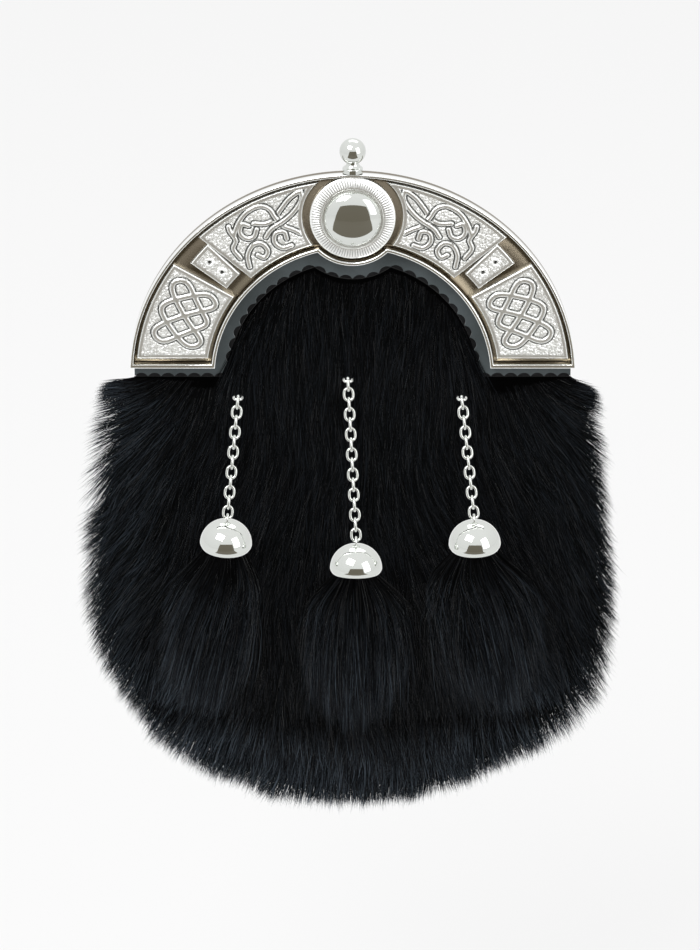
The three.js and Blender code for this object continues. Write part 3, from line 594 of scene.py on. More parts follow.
# Strokes of the shoulder panel's ornament, right half, measured from the arch's centre
shoulderStrokes = {
    "overArc": [
        (43.2, 56.0), (41.6, 60.5), (38.6, 64.6), (34.0, 67.0), (30.4, 66.0), (28.2, 62.8), (25.4, 59.6),
        (21.6, 58.0), (18.9, 56.6),
    ],
    "leafOuter": [(36.0, 60.4), (31.6, 60.3), (28.6, 62.0), (26.3, 65.6), (23.0, 70.0), (18.9, 73.2)],
    "leafInner": [(18.9, 73.2), (18.7, 69.4), (21.2, 65.2), (24.6, 61.8), (29.4, 58.4), (31.6, 55.2)],
    "tear": [
        (37.6, 43.6), (38.3, 48.0), (36.5, 51.9), (33.2, 52.7), (30.9, 50.0), (32.2, 47.3), (34.6, 48.2),
    ],
    "outerCurl": [(34.9, 58.2), (36.0, 55.3), (38.8, 54.6), (41.0, 56.8), (40.3, 60.0), (37.9, 59.5)],
    "innerCurl": [(22.2, 52.0), (25.6, 51.0), (28.4, 53.2), (28.1, 56.5), (25.0, 57.2), (24.0, 54.6)],
    "side": [(41.0, 47.0), (43.5, 50.6), (42.6, 54.0), (44.6, 57.2), (45.2, 59.2)],
}
plaqueEyes = {"radii": (63.3, 69.2), "angle": 41.0, "ring": 1.25, "pit": 0.62}


def plaitStrand():
    steps = 360
    t = np.arange(steps) / steps

    def zigzag(turns):
        return np.abs(2 * (turns - np.floor(turns + 0.5)))

    radius = plait["inner"] + (plait["outer"] - plait["inner"]) * zigzag(plait["along"] * t + plait["phase"])
    angle = np.radians(plait["low"] + (plait["high"] - plait["low"]) * zigzag(plait["across"] * t))
    line = np.stack([radius * np.cos(angle), arch["centreZ"] + radius * np.sin(angle)], 1)
    window = 15
    for _ in range(2):
        padded = np.concatenate([line[-window:], line, line[:window]])
        kernel = np.ones(window) / window
        line = np.stack([np.convolve(padded[:, k], kernel, "same")[window:-window] for k in (0, 1)], 1)
    line = line[::3]
    return np.concatenate([line, line[:1]])


# Places where strokes cross: for each, both strokes and their lengths along
def crossings(lines):
    segments = []
    for k, line in enumerate(lines):
        size = np.hypot(*(line[1:] - line[:-1]).T)
        along = np.concatenate([[0], np.cumsum(size)])
        for i in range(len(line) - 1):
            segments.append((k, i, line[i], line[i + 1], along[i], size[i]))
    starts = np.array([s[2] for s in segments])
    steps = np.array([s[3] - s[2] for s in segments])
    found = []
    for a in range(len(segments)):
        offset = starts[a + 1:] - starts[a]
        cross = steps[a, 0] * steps[a + 1:, 1] - steps[a, 1] * steps[a + 1:, 0]
        with np.errstate(divide="ignore", invalid="ignore"):
            s = (offset[:, 0] * steps[a + 1:, 1] - offset[:, 1] * steps[a + 1:, 0]) / cross
            t = (offset[:, 0] * steps[a, 1] - offset[:, 1] * steps[a, 0]) / cross
        for hit in np.nonzero((s >= 0) & (s < 1) & (t >= 0) & (t < 1))[0]:
            b = a + 1 + hit
            ka, ia, _, _, alongA, sizeA = segments[a]
            kb, ib, _, _, alongB, sizeB = segments[b]
            last = len(lines[ka]) - 2
            if ka == kb and (abs(ia - ib) < 3 or {ia, ib} == {0, last}):
                continue
            found.append((ka, alongA + s[hit] * sizeA, kb, alongB + t[hit] * sizeB))
    return found


# Height of a ribbon over the ground, and its groove, from the distance to its centreline
def ribbonHeight(away, wide):
    half = wide / 2
    crown = knot["ribbonHigh"] * (1 - 0.3 * np.clip(away / half, 0, 1) ** 2)
    rise = crown * (1 - smoothStep(half - 0.28, half + 0.1, away))
    # The groove also marks where the cast metal gets painted shade
    groove = np.exp(-((away - half - 0.2) / (knot["groove"] * 0.55)) ** 2)
    return rise - knot["grooveDeep"] * groove, groove


# Height and groove of interlaced ribbons: strands pass over and under by turns
def reliefField(points, lines, wide):
    nearest = np.full(len(points), 1e9)
    for line in lines:
        nearest = np.minimum(nearest, distanceTo(points, line)[0])
    height, groove = ribbonHeight(nearest, wide)
    met = crossings(lines)
    order = {}
    for k in range(len(lines)):
        own = [(c[1], n) for n, c in enumerate(met) if c[0] == k]
        own += [(c[3], n) for n, c in enumerate(met) if c[2] == k]
        for place, (at, n) in enumerate(sorted(own)):
            order.setdefault(n, (k, place, at))
    for n, (ka, alongA, kb, alongB) in enumerate(met):
        first, place, at = order[n]
        under = (kb, alongB) if (ka, alongA) == (first, at) else (ka, alongA)
        over = (first, at) if place % 2 == 0 else under
        away, where, whole = distanceTo(points, lines[over[0]])
        reach = wide * 0.95
        near = (np.abs(where - over[1]) < reach) & (away < wide / 2 + 0.75)
        near &= (where > 0.01) & (where < whole - 0.01)
        height[near], groove[near] = ribbonHeight(away[near], wide)
    return height, groove, nearest


# A grid of points between four edges
def coonsGrid(inner, outer, low, high):
    rows, columns = len(low), len(inner)
    u = np.linspace(0, 1, columns)[None, :, None]
    v = np.linspace(0, 1, rows)[:, None, None]
    corners = (1 - v) * ((1 - u) * inner[0] + u * inner[-1]) + v * ((1 - u) * outer[0] + u * outer[-1])
    return (1 - v) * inner[None] + v * outer[None] + (1 - u) * low[:, None] + u * high[:, None] - corners


# Height of the punched dots that cover a panel's ground
def stippleAt(points):
    rng = np.random.default_rng(9)
    shift = rng.random((2, 128, 128)) - 0.5
    cell = stipple["cell"]
    base = np.floor(points / cell).astype(int)
    nearest = np.full(len(points), 9.0)
    for i in (-1, 0, 1):
        for j in (-1, 0, 1):
            u, v = base[:, 0] + i, base[:, 1] + j
            dotX = (u + 0.5 + 0.7 * shift[0, u % 128, v % 128]) * cell
            dotZ = (v + 0.5 + 0.7 * shift[1, u % 128, v % 128]) * cell
            nearest = np.minimum(nearest, np.hypot(points[:, 0] - dotX, points[:, 1] - dotZ))
    return stipple["high"] * np.exp(-(nearest / stipple["wide"]) ** 2)


def straight(start, end, steps):
    t = np.linspace(0, 1, steps + 1)[:, None]
    return start * (1 - t) + end * t


# One raised panel: a fine field of heights with a wall down to the plate
def reliefPanel(shape, grid, field, mirror):
    rows, columns = grid.shape[:2]
    flat = grid.reshape(-1, 2)
    edge = np.concatenate([grid[0], grid[1:, -1], grid[-1, -2::-1], grid[-2:0:-1, 0]])
    away = distanceTo(flat, np.concatenate([edge, edge[:1]]))[0]
    height, groove, ground = field(flat)
    height = height + stippleAt(flat) * ground
    inside = smoothStep(knot["border"] - 0.15, knot["border"] + 0.2, away)
    corner = np.clip(1 - away / knot["edgeRound"], 0, 1)
    rounded = knot["edgeRound"] * (1 - np.sqrt(1 - corner ** 2))
    y = cantlePlateY - layers["panel"] + rounded + inside * (knot["sunk"] - height)
    side = -1.0 if mirror else 1.0
    top = np.stack([flat[:, 0] * side, y, flat[:, 1]], 1)
    index = np.arange(rows * columns).reshape(rows, columns)
    loop = np.concatenate([index[0], index[1:, -1], index[-1, -2::-1], index[-2:0:-1, 0]])
    foot = top[loop].copy()
    foot[:, 1] = cantlePlateY + 0.3
    base = rows * columns + np.arange(len(loop))
    wall = np.stack([loop, base, np.roll(base, -1), np.roll(loop, -1)], 1)
    floor = base[None]
    faces = turnedOut(np.concatenate([top, foot]), [bandFaces(rows, columns, closed=False), wall, floor])
    none = np.zeros(len(loop))
    shape.add(
        np.concatenate([top, foot]), faces,
        groove=np.concatenate([groove * inside, none]), ground=np.concatenate([ground * inside, none]),
        panel=1.0,
    )


# Raised panels of the right half: radii and angles of their edges about the arch's centre, and rough sizes
panels = {
    "inner": 54.0, "outerInset": 2.4,
    "foot": {
        "innerFrom": 8.1, "innerTo": 36.2, "outerFrom": 5.6, "outerTo": 35.4, "long": 33.0, "wide": 26.0,
    },
    "shoulder": {
        "innerFrom": 46.5, "innerTo": 74.4, "outerFrom": 45.6, "outerTo": 81.0, "long": 38.0, "wide": 27.0,
    },
    "hollow": {"radius": 17.7, "from": -36.0, "to": 50.0},
    "plaque": {"inner": 58.0, "outer": 74.4, "from": 37.2, "to": 44.8, "cellsLong": 30, "cellsWide": 60},
}


# Inner and outer edge of a panel, and its cells across
def panelEdges(panel):
    along, across = (max(8, int(round(panel[side] / knot["cell"]))) for side in ("long", "wide"))
    radius, inset = panels["inner"], panels["outerInset"]
    inner = archArc(radius, radius, panel["innerFrom"], panel["innerTo"], along)
    outerX, outerZ = arch["outerX"] - inset, arch["outerZ"] - inset
    return inner, archArc(outerX, outerZ, panel["outerFrom"], panel["outerTo"], along), across


def footGrid():
    inner, outer, across = panelEdges(panels["foot"])
    low, high = (straight(inner[end], outer[end], across) for end in (0, -1))
    return coonsGrid(inner, outer, low, high)


# The shoulder panel's upper edge is hollowed round the boss
def shoulderGrid():
    inner, outer, across = panelEdges(panels["shoulder"])
    radius, centreZ = panels["hollow"]["radius"], arch["centreZ"] + arch["bossUp"]
    hollow = arcPoints(0, centreZ, radius, radius, panels["hollow"]["from"], panels["hollow"]["to"], across)
    t = np.linspace(0, 1, across + 1)[:, None]
    hollow = hollow + (1 - t) * (inner[-1] - hollow[0]) + t * (outer[-1] - hollow[-1])
    return coonsGrid(inner, outer, straight(inner[0], outer[0], across), hollow)


def plaqueGrid():
    plaque = panels["plaque"]
    inner, outer = (
        archArc(plaque[edge], plaque[edge], plaque["from"], plaque["to"], plaque["cellsLong"])
        for edge in ("inner", "outer")
    )
    low, high = (straight(inner[end], outer[end], plaque["cellsWide"]) for end in (0, -1))
    return coonsGrid(inner, outer, low, high)


def footField(points):
    height, groove, nearest = reliefField(points, [plaitStrand()], knot["footWide"])
    return height, groove, smoothStep(knot["footWide"] / 2, knot["footWide"] / 2 + 0.4, nearest)


def shoulderField(points):
    up = np.array([0.0, arch["centreZ"]])
    lines = [smoothLine(np.array(stroke) + up, 10) for stroke in shoulderStrokes.values()]
    height, groove, nearest = reliefField(points, lines, knot["shoulderWide"])
    return height, groove, smoothStep(knot["shoulderWide"] / 2, knot["shoulderWide"] / 2 + 0.4, nearest)


def plaqueField(points):
    angle = math.radians(plaqueEyes["angle"])
    height, groove = np.zeros(len(points)), np.zeros(len(points))
    for radius in plaqueEyes["radii"]:
        centre = np.array([radius * math.cos(angle), arch["centreZ"] + radius * math.sin(angle)])
        away = np.hypot(*(points - centre).T)
        ring = np.exp(-((away - plaqueEyes["ring"]) / 0.42) ** 2)
        pit = 1 - smoothStep(plaqueEyes["pit"] - 0.2, plaqueEyes["pit"] + 0.2, away)
        height += 0.45 * ring - 0.9 * pit
        # The pits carry the groove mask, which paints shade into them
        groove = np.maximum(groove, pit)
    return height, groove, np.ones(len(points))


cantle = Shape()
cantleBase(cantle)
for grid, field in ((footGrid(), footField), (shoulderGrid(), shoulderField), (plaqueGrid(), plaqueField)):
    for mirror in (False, True):
        reliefPanel(cantle, grid, field, mirror)
finished(cantle, "castCantle", "cast", ["cantle"], sharp=50.0)
print("cantle built")


# Boss and knob

boss = {"side": 2.4, "ring": 3.6, "dome": 10.5, "domeHigh": 7.5, "ribs": 90, "ribDeep": 0.28, "perRib": 6}
knob = {"collar": 3.7, "collarHigh": 1.9, "neck": 2.2, "ball": 4.8, "ballUp": 7.8}


# A ribbed ring round a polished dome
def makeBoss():
    top = arch["bossRadius"]
    rows = [(0.002, 0.0, 0), (top, 0.0, 0), (top, boss["side"] - 0.3, 0)]
    for a in np.radians(np.linspace(0, 90, 4)):
        rows.append((top - 0.3 * (1 - math.cos(a)), boss["side"] - 0.3 + 0.3 * math.sin(a), 0))
    for share in np.linspace(0, 1, 12):
        radius = top - 0.5 + (boss["dome"] + 1.1 - top + 0.5) * share
        crown = math.sin(math.pi * min(1, 0.12 + 0.88 * share) * 0.62)
        height = boss["side"] + (boss["ring"] - boss["side"]) * crown
        rows.append((radius, height, math.sin(math.pi * share) ** 0.5))
    rows += [(boss["dome"] + 0.85, boss["ring"] - 0.15, 0), (boss["dome"] + 0.6, boss["side"] + 0.2, 0),
             (boss["dome"] + 0.35, boss["side"] + 0.1, 0), (boss["dome"] + 0.05, boss["side"] + 0.5, 0)]
    rise = boss["domeHigh"] - boss["ring"] + 0.4
    for a in np.radians(np.linspace(0, 90, 20)):
        rows.append((boss["dome"] * math.cos(a) + 0.002, boss["ring"] - 0.4 + rise * math.sin(a), 0))
    rows = np.array(rows)
    sides = boss["ribs"] * boss["perRib"]
    angle = np.linspace(0, 2 * math.pi, sides, endpoint=False)
    wave = 0.5 + 0.5 * np.cos(angle * boss["ribs"])
    height = rows[:, 1:2] - boss["ribDeep"] * rows[:, 2:3] * (1 - wave[None])
    radius = np.repeat(rows[:, :1], sides, 1)
    centreZ = arch["centreZ"] + arch["bossUp"]
    y = cantlePlateY - layers["gap"] - height
    points = np.stack([radius * np.cos(angle), y, centreZ + radius * np.sin(angle)], -1)
    shape = Shape()
    # The groove mask paints shade into the valleys between the ribs
    loft(shape, points, groove=0.75 * rows[:, 2:3] * (1 - wave[None]) ** 2, panel=1.0)
    return finished(shape, "ribbedBoss", "cast", ["boss"], sharp=60.0)


# The boss's dome is polished: it is laid just over the ring casting
def makeDome():
    rows = [(0.002, boss["side"]), (boss["dome"], boss["side"])]
    rise = boss["domeHigh"] - boss["ring"] + 0.4
    for a in np.radians(np.linspace(0, 90, 40)):
        rows.append((boss["dome"] * math.cos(a) + 0.002, boss["ring"] - 0.35 + rise * math.sin(a)))
    centreZ = arch["centreZ"] + arch["bossUp"]

    def place(rings):
        y = cantlePlateY - layers["gap"] - rings[..., 2]
        return np.stack([rings[..., 0], y, centreZ + rings[..., 1]], -1)

    shape = Shape()
    lathe(shape, rows, 96, place)
    return finished(shape, "bossDome", "polished", ["boss"], sharp=60.0)


def makeKnob():
    collar, collarHigh = knob["collar"], knob["collarHigh"]
    rows = [(0.002, 0.0), (collar, 0.0), (collar, collarHigh - 0.5)]
    for a in np.radians(np.linspace(0, 90, 5)[1:]):
        rows.append((collar - 0.5 * (1 - math.cos(a)), collarHigh - 0.5 + 0.5 * math.sin(a)))
    start = math.asin(knob["neck"] / knob["ball"])
    neckHigh = knob["ballUp"] - knob["ball"] * math.cos(start) - collarHigh
    for share in np.linspace(0, 1, 7)[1:-1]:
        radius = collar - 0.5 + (knob["neck"] - collar + 0.5) * math.sin(share * math.pi / 2)
        rows.append((radius, collarHigh + neckHigh * share))
    for a in np.linspace(start, math.pi, 30):
        rows.append((knob["ball"] * math.sin(a) + 0.002, knob["ballUp"] - knob["ball"] * math.cos(a)))
    middleY = (cantleBackY + cantleFrontY) / 2
    baseZ = arch["centreZ"] + arch["outerZ"] + layers["gap"]
    shape = Shape()
    lathe(shape, rows, 56, lambda rings: rings + np.array([0, middleY, baseZ]))
    return finished(shape, "topKnob", "polished", ["knob"], sharp=50.0)


makeBoss()
makeDome()
makeKnob()
print("boss and knob built")


# Leather

# Pointed teeth with rounded bites between them, along an arc
def pinkedArc(centreZ, radius, fromDeg, toDeg, biteOutwards):
    teeth = max(1, round(abs(math.radians(toDeg - fromDeg)) * radius / edging["pitch"]))
    t = np.arange(teeth * edging["biteSteps"]) / (teeth * edging["biteSteps"])
    part = (t * teeth) % 1
    deep = 1 - np.abs(2 * part - 1) ** 2.4
    angle = np.radians(fromDeg + (toDeg - fromDeg) * t)
    reach = radius + biteOutwards * deep * edging["deep"]
    return np.stack([reach * np.cos(angle), centreZ + reach * np.sin(angle)], 1)


def pinkedLine(fromX, toX, z):
    teeth = max(1, round(abs(toX - fromX) / edging["pitch"]))
    t = np.arange(teeth * edging["biteSteps"]) / (teeth * edging["biteSteps"])
    deep = 1 - np.abs(2 * ((t * teeth) % 1) - 1) ** 2.4
    return np.stack([fromX + (toX - fromX) * t, z + deep * edging["deep"]], 1)


def edgingOutline():
    inner, bulge = arch["inner"] - edging["wide"], arch["bossBulge"] + edging["wide"]
    foot = arch["foot"] - edging["belowFoot"]
    footZ, centreZ = arch["centreZ"] + foot, arch["centreZ"] - edging["drop"]
    innerFrom = math.degrees(math.asin((foot + edging["drop"]) / inner))
    innerX = inner * math.cos(math.radians(innerFrom))
    notch, bulgeFrom = bossJunction(inner, bulge)
    outerX, outerZ = arch["outerX"] - edging["inset"], arch["outerZ"] - edging["inset"]
    return np.concatenate([
        archArc(outerX, outerZ, 0, 180, 120),
        pinkedLine(-outerX, -innerX, footZ),
        pinkedArc(centreZ, inner, 180 - innerFrom, 90 + notch, 1),
        pinkedArc(centreZ + arch["bossUp"], bulge, -180 - bulgeFrom, bulgeFrom, -1),
        pinkedArc(centreZ, inner, 90 - notch, innerFrom, 1),
        pinkedLine(innerX, outerX, footZ),
        np.array([[outerX, footZ]]),
    ])


def pouchOutline(inset, upper=24, lower=110):
    side = pouch["halfWidth"] - inset
    centreZ = arch["centreZ"] + pouch["widestZ"]
    shoulder = math.degrees(math.asin((arch["foot"] - pouch["widestZ"]) / pouch["upperHeight"]))
    return np.concatenate([
        arcPoints(0, centreZ, side, pouch["upperHeight"], 180 - shoulder, 180, upper),
        arcPoints(0, centreZ, side, pouch["lowerHeight"] - inset, 180, 360, lower)[1:-1],
        arcPoints(0, centreZ, side, pouch["upperHeight"], 0, shoulder, upper),
    ])


def bulgeAt(x, z):
    reach = np.hypot(x, z - arch["centreZ"] - pouch["bellyZ"]) / pouch["bellyRadius"]
    return pouch["bellyHeight"] * np.maximum(0, 1 - reach ** 2)


# A sheet that follows the belly's bulge, in rings round the belly's centre
def bulgedSheet(shape, outline, backY, frontY, rows=26, rounding=0.4, **fields):
    outline = counterClockwise(outline)
    centre = np.array([0.0, arch["centreZ"] + pouch["bellyZ"]])
    shares = np.linspace(0.02, 1, rows)
    edge = [drawnIn(outline, rounding * (1 - math.cos(a))) for a in np.linspace(0, math.pi / 2, 4)]
    lift = [rounding * (1 - math.sin(a)) for a in np.linspace(0, math.pi / 2, 4)]

    def ring(flat, y):
        return np.stack([flat[:, 0], y - bulgeAt(flat[:, 0], flat[:, 1]), flat[:, 1]], 1)

    rings = [ring(centre + (edge[-1] - centre) * s, frontY) for s in shares]
    rings += [ring(e, frontY + up) for e, up in list(zip(edge, lift))[::-1][1:]]
    rings += [ring(e, backY - up) for e, up in zip(edge, lift)][:-1]
    rings += [ring(centre + (edge[-1] - centre) * s, backY) for s in shares[::-1]]
    loft(shape, rings, **fields)


def boardOutline():
    body = pouchOutline(0)
    return np.concatenate([body, archArc(body[-1, 0], arch["outerZ"] - pouch["archInset"], 8, 172, 60)])


stitch = {"long": 2.3, "pitch": 3.4, "wide": 0.55, "high": 0.3, "fromEdge": 3.6}


# Short rounded stitches along a line, standing a little out of the leather
def stitchRow(shape, line, y):
    size = np.concatenate([[0], np.cumsum(np.hypot(*(line[1:] - line[:-1]).T))])
    for at in np.arange(stitch["pitch"] / 2, size[-1], stitch["pitch"]):
        places = at + stitch["long"] * np.linspace(-0.5, 0.5, 5)
        x, z = (np.interp(places, size, line[:, k]) for k in (0, 1))
        lift = y + stitch["high"] * 0.5 * np.array([-0.15, 0.8, 1.0, 0.8, -0.15])
        tube(shape, np.stack([x, lift, z], 1), stitch["wide"] / 2, 6)


def makeLeather():
    shape = Shape()
    slab(shape, edgingOutline(), edgingBackY, edgingFrontY, 0.25, 2)
    finished(shape, "pinkedEdging", "edging", ["cantle_leather"])

    shape = Shape()
    bulgedSheet(shape, boardOutline(), boardBackY, boardFrontY)
    finished(shape, "leatherBoard", "black", ["front_board"])

    outer, inner = pouchOutline(pouch["backInset"]), pouchOutline(pouch["backInset"] + layers["leather"])
    shape = Shape()
    backY, frontY = -layers["leather"] - layers["gap"], boardBackY + layers["gap"]
    slab(shape, np.concatenate([outer, inner[::-1]]), backY, frontY, 0.3, 2)
    finished(shape, "leatherGusset", "black", ["gusset"])

    body = pouchOutline(pouch["backInset"])
    top = archArc(body[-1, 0], pouch["backArch"], 6, 174, 60)
    shape = Shape()
    slab(shape, np.concatenate([body, top]), 0.0, -layers["leather"], 0.5, 3)
    seam = drawnIn(counterClockwise(np.concatenate([body, top])), stitch["fromEdge"])
    stitchRow(shape, np.concatenate([seam, seam[:1]]), 0.0)
    finished(shape, "leatherBack", "black", ["back_panel"])


loop = {"x": 48.0, "wide": 16.0, "height": 42.0, "foot": 8.0, "standOff": 6.2, "thick": 2.0}


# A strap that is sewn down at both ends and stands off between them, for a waist strap
def makeBeltLoop(name, node, x):
    half, foot, thick = loop["height"] / 2, loop["foot"], loop["thick"]
    inner = layers["gap"] + loop["standOff"]
    start, turn = layers["gap"], -half + foot
    knots = [
        (start, -half), (start, turn - 0.6), (start + 1.2, turn + 0.9), (inner - 1.2, turn + 1.7),
        (inner, turn + 3.2), (inner, 0.0),
    ]
    lower = smoothLine(np.array(knots), 5)
    inside = np.concatenate([lower, lower[-2::-1] * np.array([1, -1])])
    along = unit(np.gradient(inside, axis=0))
    outside = inside + np.stack([along[:, 1], -along[:, 0]], 1) * thick
    outside[:, 0] = np.clip(outside[:, 0], layers["gap"] + thick, inner + thick)
    outside[:, 1] = np.clip(outside[:, 1], -half, half)
    profile = np.concatenate([inside, outside[::-1]])
    shape = Shape()

    def place(rings):
        return np.stack([x + rings[..., 1], rings[..., 0], rings[..., 2]], -1)

    slab(shape, profile, loop["wide"] / 2, -loop["wide"] / 2, 0.45, 3, place)
    for side in (-1, 1):
        for lane in (-1, 1):
            laneX = x + lane * (loop["wide"] / 2 - 2)
            line = np.array([[laneX, side * (half - 1.6)], [laneX, side * (half - foot + 1.6)]])
            stitchRow(shape, line, layers["gap"] + thick)
        reach = loop["wide"] / 2 - 2.4
        line = np.array([[x - reach, side * (half - 1.6)], [x + reach, side * (half - 1.6)]])
        stitchRow(shape, line, layers["gap"] + thick)
    return finished(shape, name, "black", [node])


makeLeather()
makeBeltLoop("strapLoopLeft", "belt_loop_left", -loop["x"])
makeBeltLoop("strapLoopRight", "belt_loop_right", loop["x"])
print("leather built")


# Chains and caps

chain = {
    "wire": 0.9, "long": 5.49, "wide": 4.3, "pitch": 3.74, "turnOdd": 6.0, "turnEven": 88.0, "around": 28,
    "sides": 10, "standOff": 2.6, "stapleHalf": 1.5,
}
cap = {
    "radius": 9.7, "high": 9.3, "tuck": 2.0, "mouth": 8.9, "wall": 0.9, "eyelet": 1.75, "eyeletUp": 2.3,
    "clear": 0.5,
}
fur = {"base": 4.0, "hide": 1.2}
# Where each chain starts and drifts to, its links, and its tassel's turns in degrees
tassels = [
    {"name": "left", "x": -42.6, "top": -7.5, "drift": -3.9, "links": 12, "roll": 4, "lean": 0},
    {"name": "middle", "x": -1.7, "top": 0.2, "drift": 3, "links": 16, "roll": 0, "lean": 12},
    {"name": "right", "x": 40.6, "top": -7.5, "drift": 4.6, "links": 12, "roll": -2, "lean": 3},
]
# Length, half width and sideways swing of each tassel's fur
furSizes = [
    {"length": 73, "half": 17, "swing": -6, "seed": 11},
    {"length": 68, "half": 20, "swing": 0, "seed": 12},
    {"length": 74, "half": 22, "swing": 6, "seed": 13},
]
for tassel, furSize in zip(tassels, furSizes):
    tassel.update(furSize)


# Depth of the fur's base surface
def hideFront(x, z):
    return boardFrontY - layers["gap"] - fur["base"] - bulgeAt(x, z)


def chainLine(tassel):
    topZ = arch["centreZ"] + tassel["top"]
    first = chain["long"] / 2 - chain["wire"] * 1.9
    span = (tassel["links"] - 1) * chain["pitch"] + 2 * first
    top = np.array([tassel["x"], hideFront(tassel["x"], topZ) - chain["standOff"], topZ])
    capY = hideFront(tassel["x"] + tassel["drift"], topZ - span) - cap["clear"] - cap["radius"]
    fall = math.sqrt(span ** 2 - tassel["drift"] ** 2 - (capY - top[1]) ** 2)
    return top, np.array([top[0] + tassel["drift"], capY, topZ - fall])


def turnAbout(axis, degrees):
    c, s = math.cos(math.radians(degrees)), math.sin(math.radians(degrees))
    x, y, z = unit(np.asarray(axis, float))
    return np.array([
        [c + x * x * (1 - c), x * y * (1 - c) - z * s, x * z * (1 - c) + y * s],
        [y * x * (1 - c) + z * s, c + y * y * (1 - c), y * z * (1 - c) - x * s],
        [z * x * (1 - c) - y * s, z * y * (1 - c) + x * s, c + z * z * (1 - c)],
    ])


def makeChain(tassel):
    top, bottom = chainLine(tassel)
    down = bottom - top
    whole = np.linalg.norm(down)
    first = chain["long"] / 2 - chain["wire"] * 1.9
    step = (whole - 2 * first) / (tassel["links"] - 1)
    down = down / whole
    axis = np.cross([0, 0, -1], down)
    hang = turnAbout(axis, math.degrees(math.acos(-down[2])))
    t = np.linspace(0, 2 * math.pi, chain["around"], endpoint=False)
    halfLong, halfWide = (chain["long"] - chain["wire"]) / 2, (chain["wide"] - chain["wire"]) / 2
    flatSide = halfLong - halfWide
    upright = halfWide * np.cos(t) + flatSide * np.tanh(3 * np.cos(t))
    oval = np.stack([halfWide * np.sin(t), np.zeros_like(t), upright], 1)
    shape = Shape()
    for i in range(tassel["links"]):
        turn = hang @ turnAbout([0, 0, 1], chain["turnOdd"] if i % 2 else chain["turnEven"])
        path = oval @ turn.T + top + down * (first + step * i)
        tube(shape, path, chain["wire"] / 2, chain["sides"], closed=True)
    return finished(shape, "chain" + tassel["name"].title(), "polished", ["chain_" + tassel["name"]], sharp=0)


def makeStaple(tassel):
    top, _ = chainLine(tassel)
    hideY = hideFront(top[0], top[2]) - layers["gap"]
    half, middleY = chain["stapleHalf"], (hideY + top[1]) / 2
    leg = [(-half, hideY), (-half, middleY), (-half * 0.6, top[1])]
    line = smoothLine(np.array(leg + [(-x, y) for x, y in leg[::-1]]), 6)
    shape = Shape()
    tube(shape, [(top[0] + x, y, top[2]) for x, y in line], chain["wire"] / 2, 10)
    name = tassel["name"]
    return finished(shape, "staple" + name.title(), "polished", ["staple_" + name], sharp=0)


# Place and turn of a tassel: its origin is the centre of the cap's widest circle
def tasselFrame(tassel):
    _, bottom = chainLine(tassel)
    turn = turnAbout([0, 1, 0], tassel["roll"]) @ turnAbout([1, 0, 0], -tassel["lean"])
    return bottom - turn @ np.array([0, 0, cap["high"] + cap["eyeletUp"]]), turn


# A polished bell with a turned-in lower edge, and the eyelet that hangs on the chain
def makeCap(tassel):
    origin, turn = tasselFrame(tassel)
    radius, high, tuck, wall = cap["radius"], cap["high"], cap["tuck"], cap["wall"]
    inner = []
    for a in np.radians(np.linspace(90, 0, 14)):
        inner.append(((radius - wall) * math.cos(a) + 0.002, (high - wall) * math.sin(a)))
    mouth = cap["mouth"]
    lip = [
        (mouth - wall, -tuck + 0.3), (mouth - wall + 0.25, -tuck), (mouth - 0.3, -tuck),
        (mouth + 0.02, -tuck + 0.28),
    ]
    outer = [(radius - 0.22, -0.85), (radius, -0.15)]
    for a in np.radians(np.linspace(2, 90, 34)):
        outer.append((radius * math.cos(a) + 0.002, high * math.sin(a)))
    shape = Shape()
    lathe(shape, inner + lip + outer, 72, lambda rings: rings @ turn.T + origin)
    t = np.linspace(0, 2 * math.pi, 32, endpoint=False)
    eyeZ = high + cap["eyeletUp"] - cap["eyelet"]
    ring = np.stack([np.zeros_like(t), cap["eyelet"] * np.cos(t), eyeZ + cap["eyelet"] * np.sin(t)], 1)
    tube(shape, ring @ turn.T + origin, chain["wire"] / 2, 10, closed=True)
    name = tassel["name"]
    return finished(shape, "cap" + name.title(), "polished", ["tassel_cap_" + name], sharp=60.0)


for tassel in tassels:
    makeStaple(tassel)
    makeChain(tassel)
    makeCap(tassel)
print("chains and caps built")


# Fur

# Hairs as tapered ribbons: path is hairs by points by 3, and facing is the way their flat sides look
def strands(shape, path, width, facing, rng, roll=38.0, sheen=0.0):
    count, rows = path.shape[:2]
    along = unit(np.gradient(path, axis=1))
    face = unit(facing[:, None] - along * np.einsum("ijk,ik->ij", along, facing)[..., None])
    side = np.cross(along, face)
    angle = np.radians(rng.normal(0, roll, count))[:, None, None]
    side = side * np.cos(angle) + face * np.sin(angle)
    taper = np.linspace(1, 0.55, rows - 1) * 0.5
    half = side[:, :-1] * (width[:, None] * taper[None])[..., None]
    pairs = np.stack([path[:, :-1] - half, path[:, :-1] + half], 2).reshape(count, -1, 3)
    points = np.concatenate([pairs, path[:, -1:]], 1)
    each = 2 * (rows - 1) + 1
    base = (np.arange(count) * each)[:, None]
    quads = []
    for k in range(rows - 2):
        quads.append(base + np.array([[2 * k, 2 * k + 1, 2 * k + 3, 2 * k + 2]]))
    tips = base + np.array([[2 * (rows - 2), 2 * (rows - 2) + 1, each - 1]])
    t = np.concatenate([np.repeat(np.linspace(0, 1, rows)[:-1], 2), [1.0]])
    sheen = np.broadcast_to(np.asarray(sheen, float), (count,))
    perHair = {"chance": rng.random(count), "sheen": sheen}
    fields = {name: np.repeat(value[:, None], each, 1) for name, value in perHair.items()}
    shape.add(points, [np.concatenate(quads), tips], along=np.repeat(t[None], count, 0), **fields)


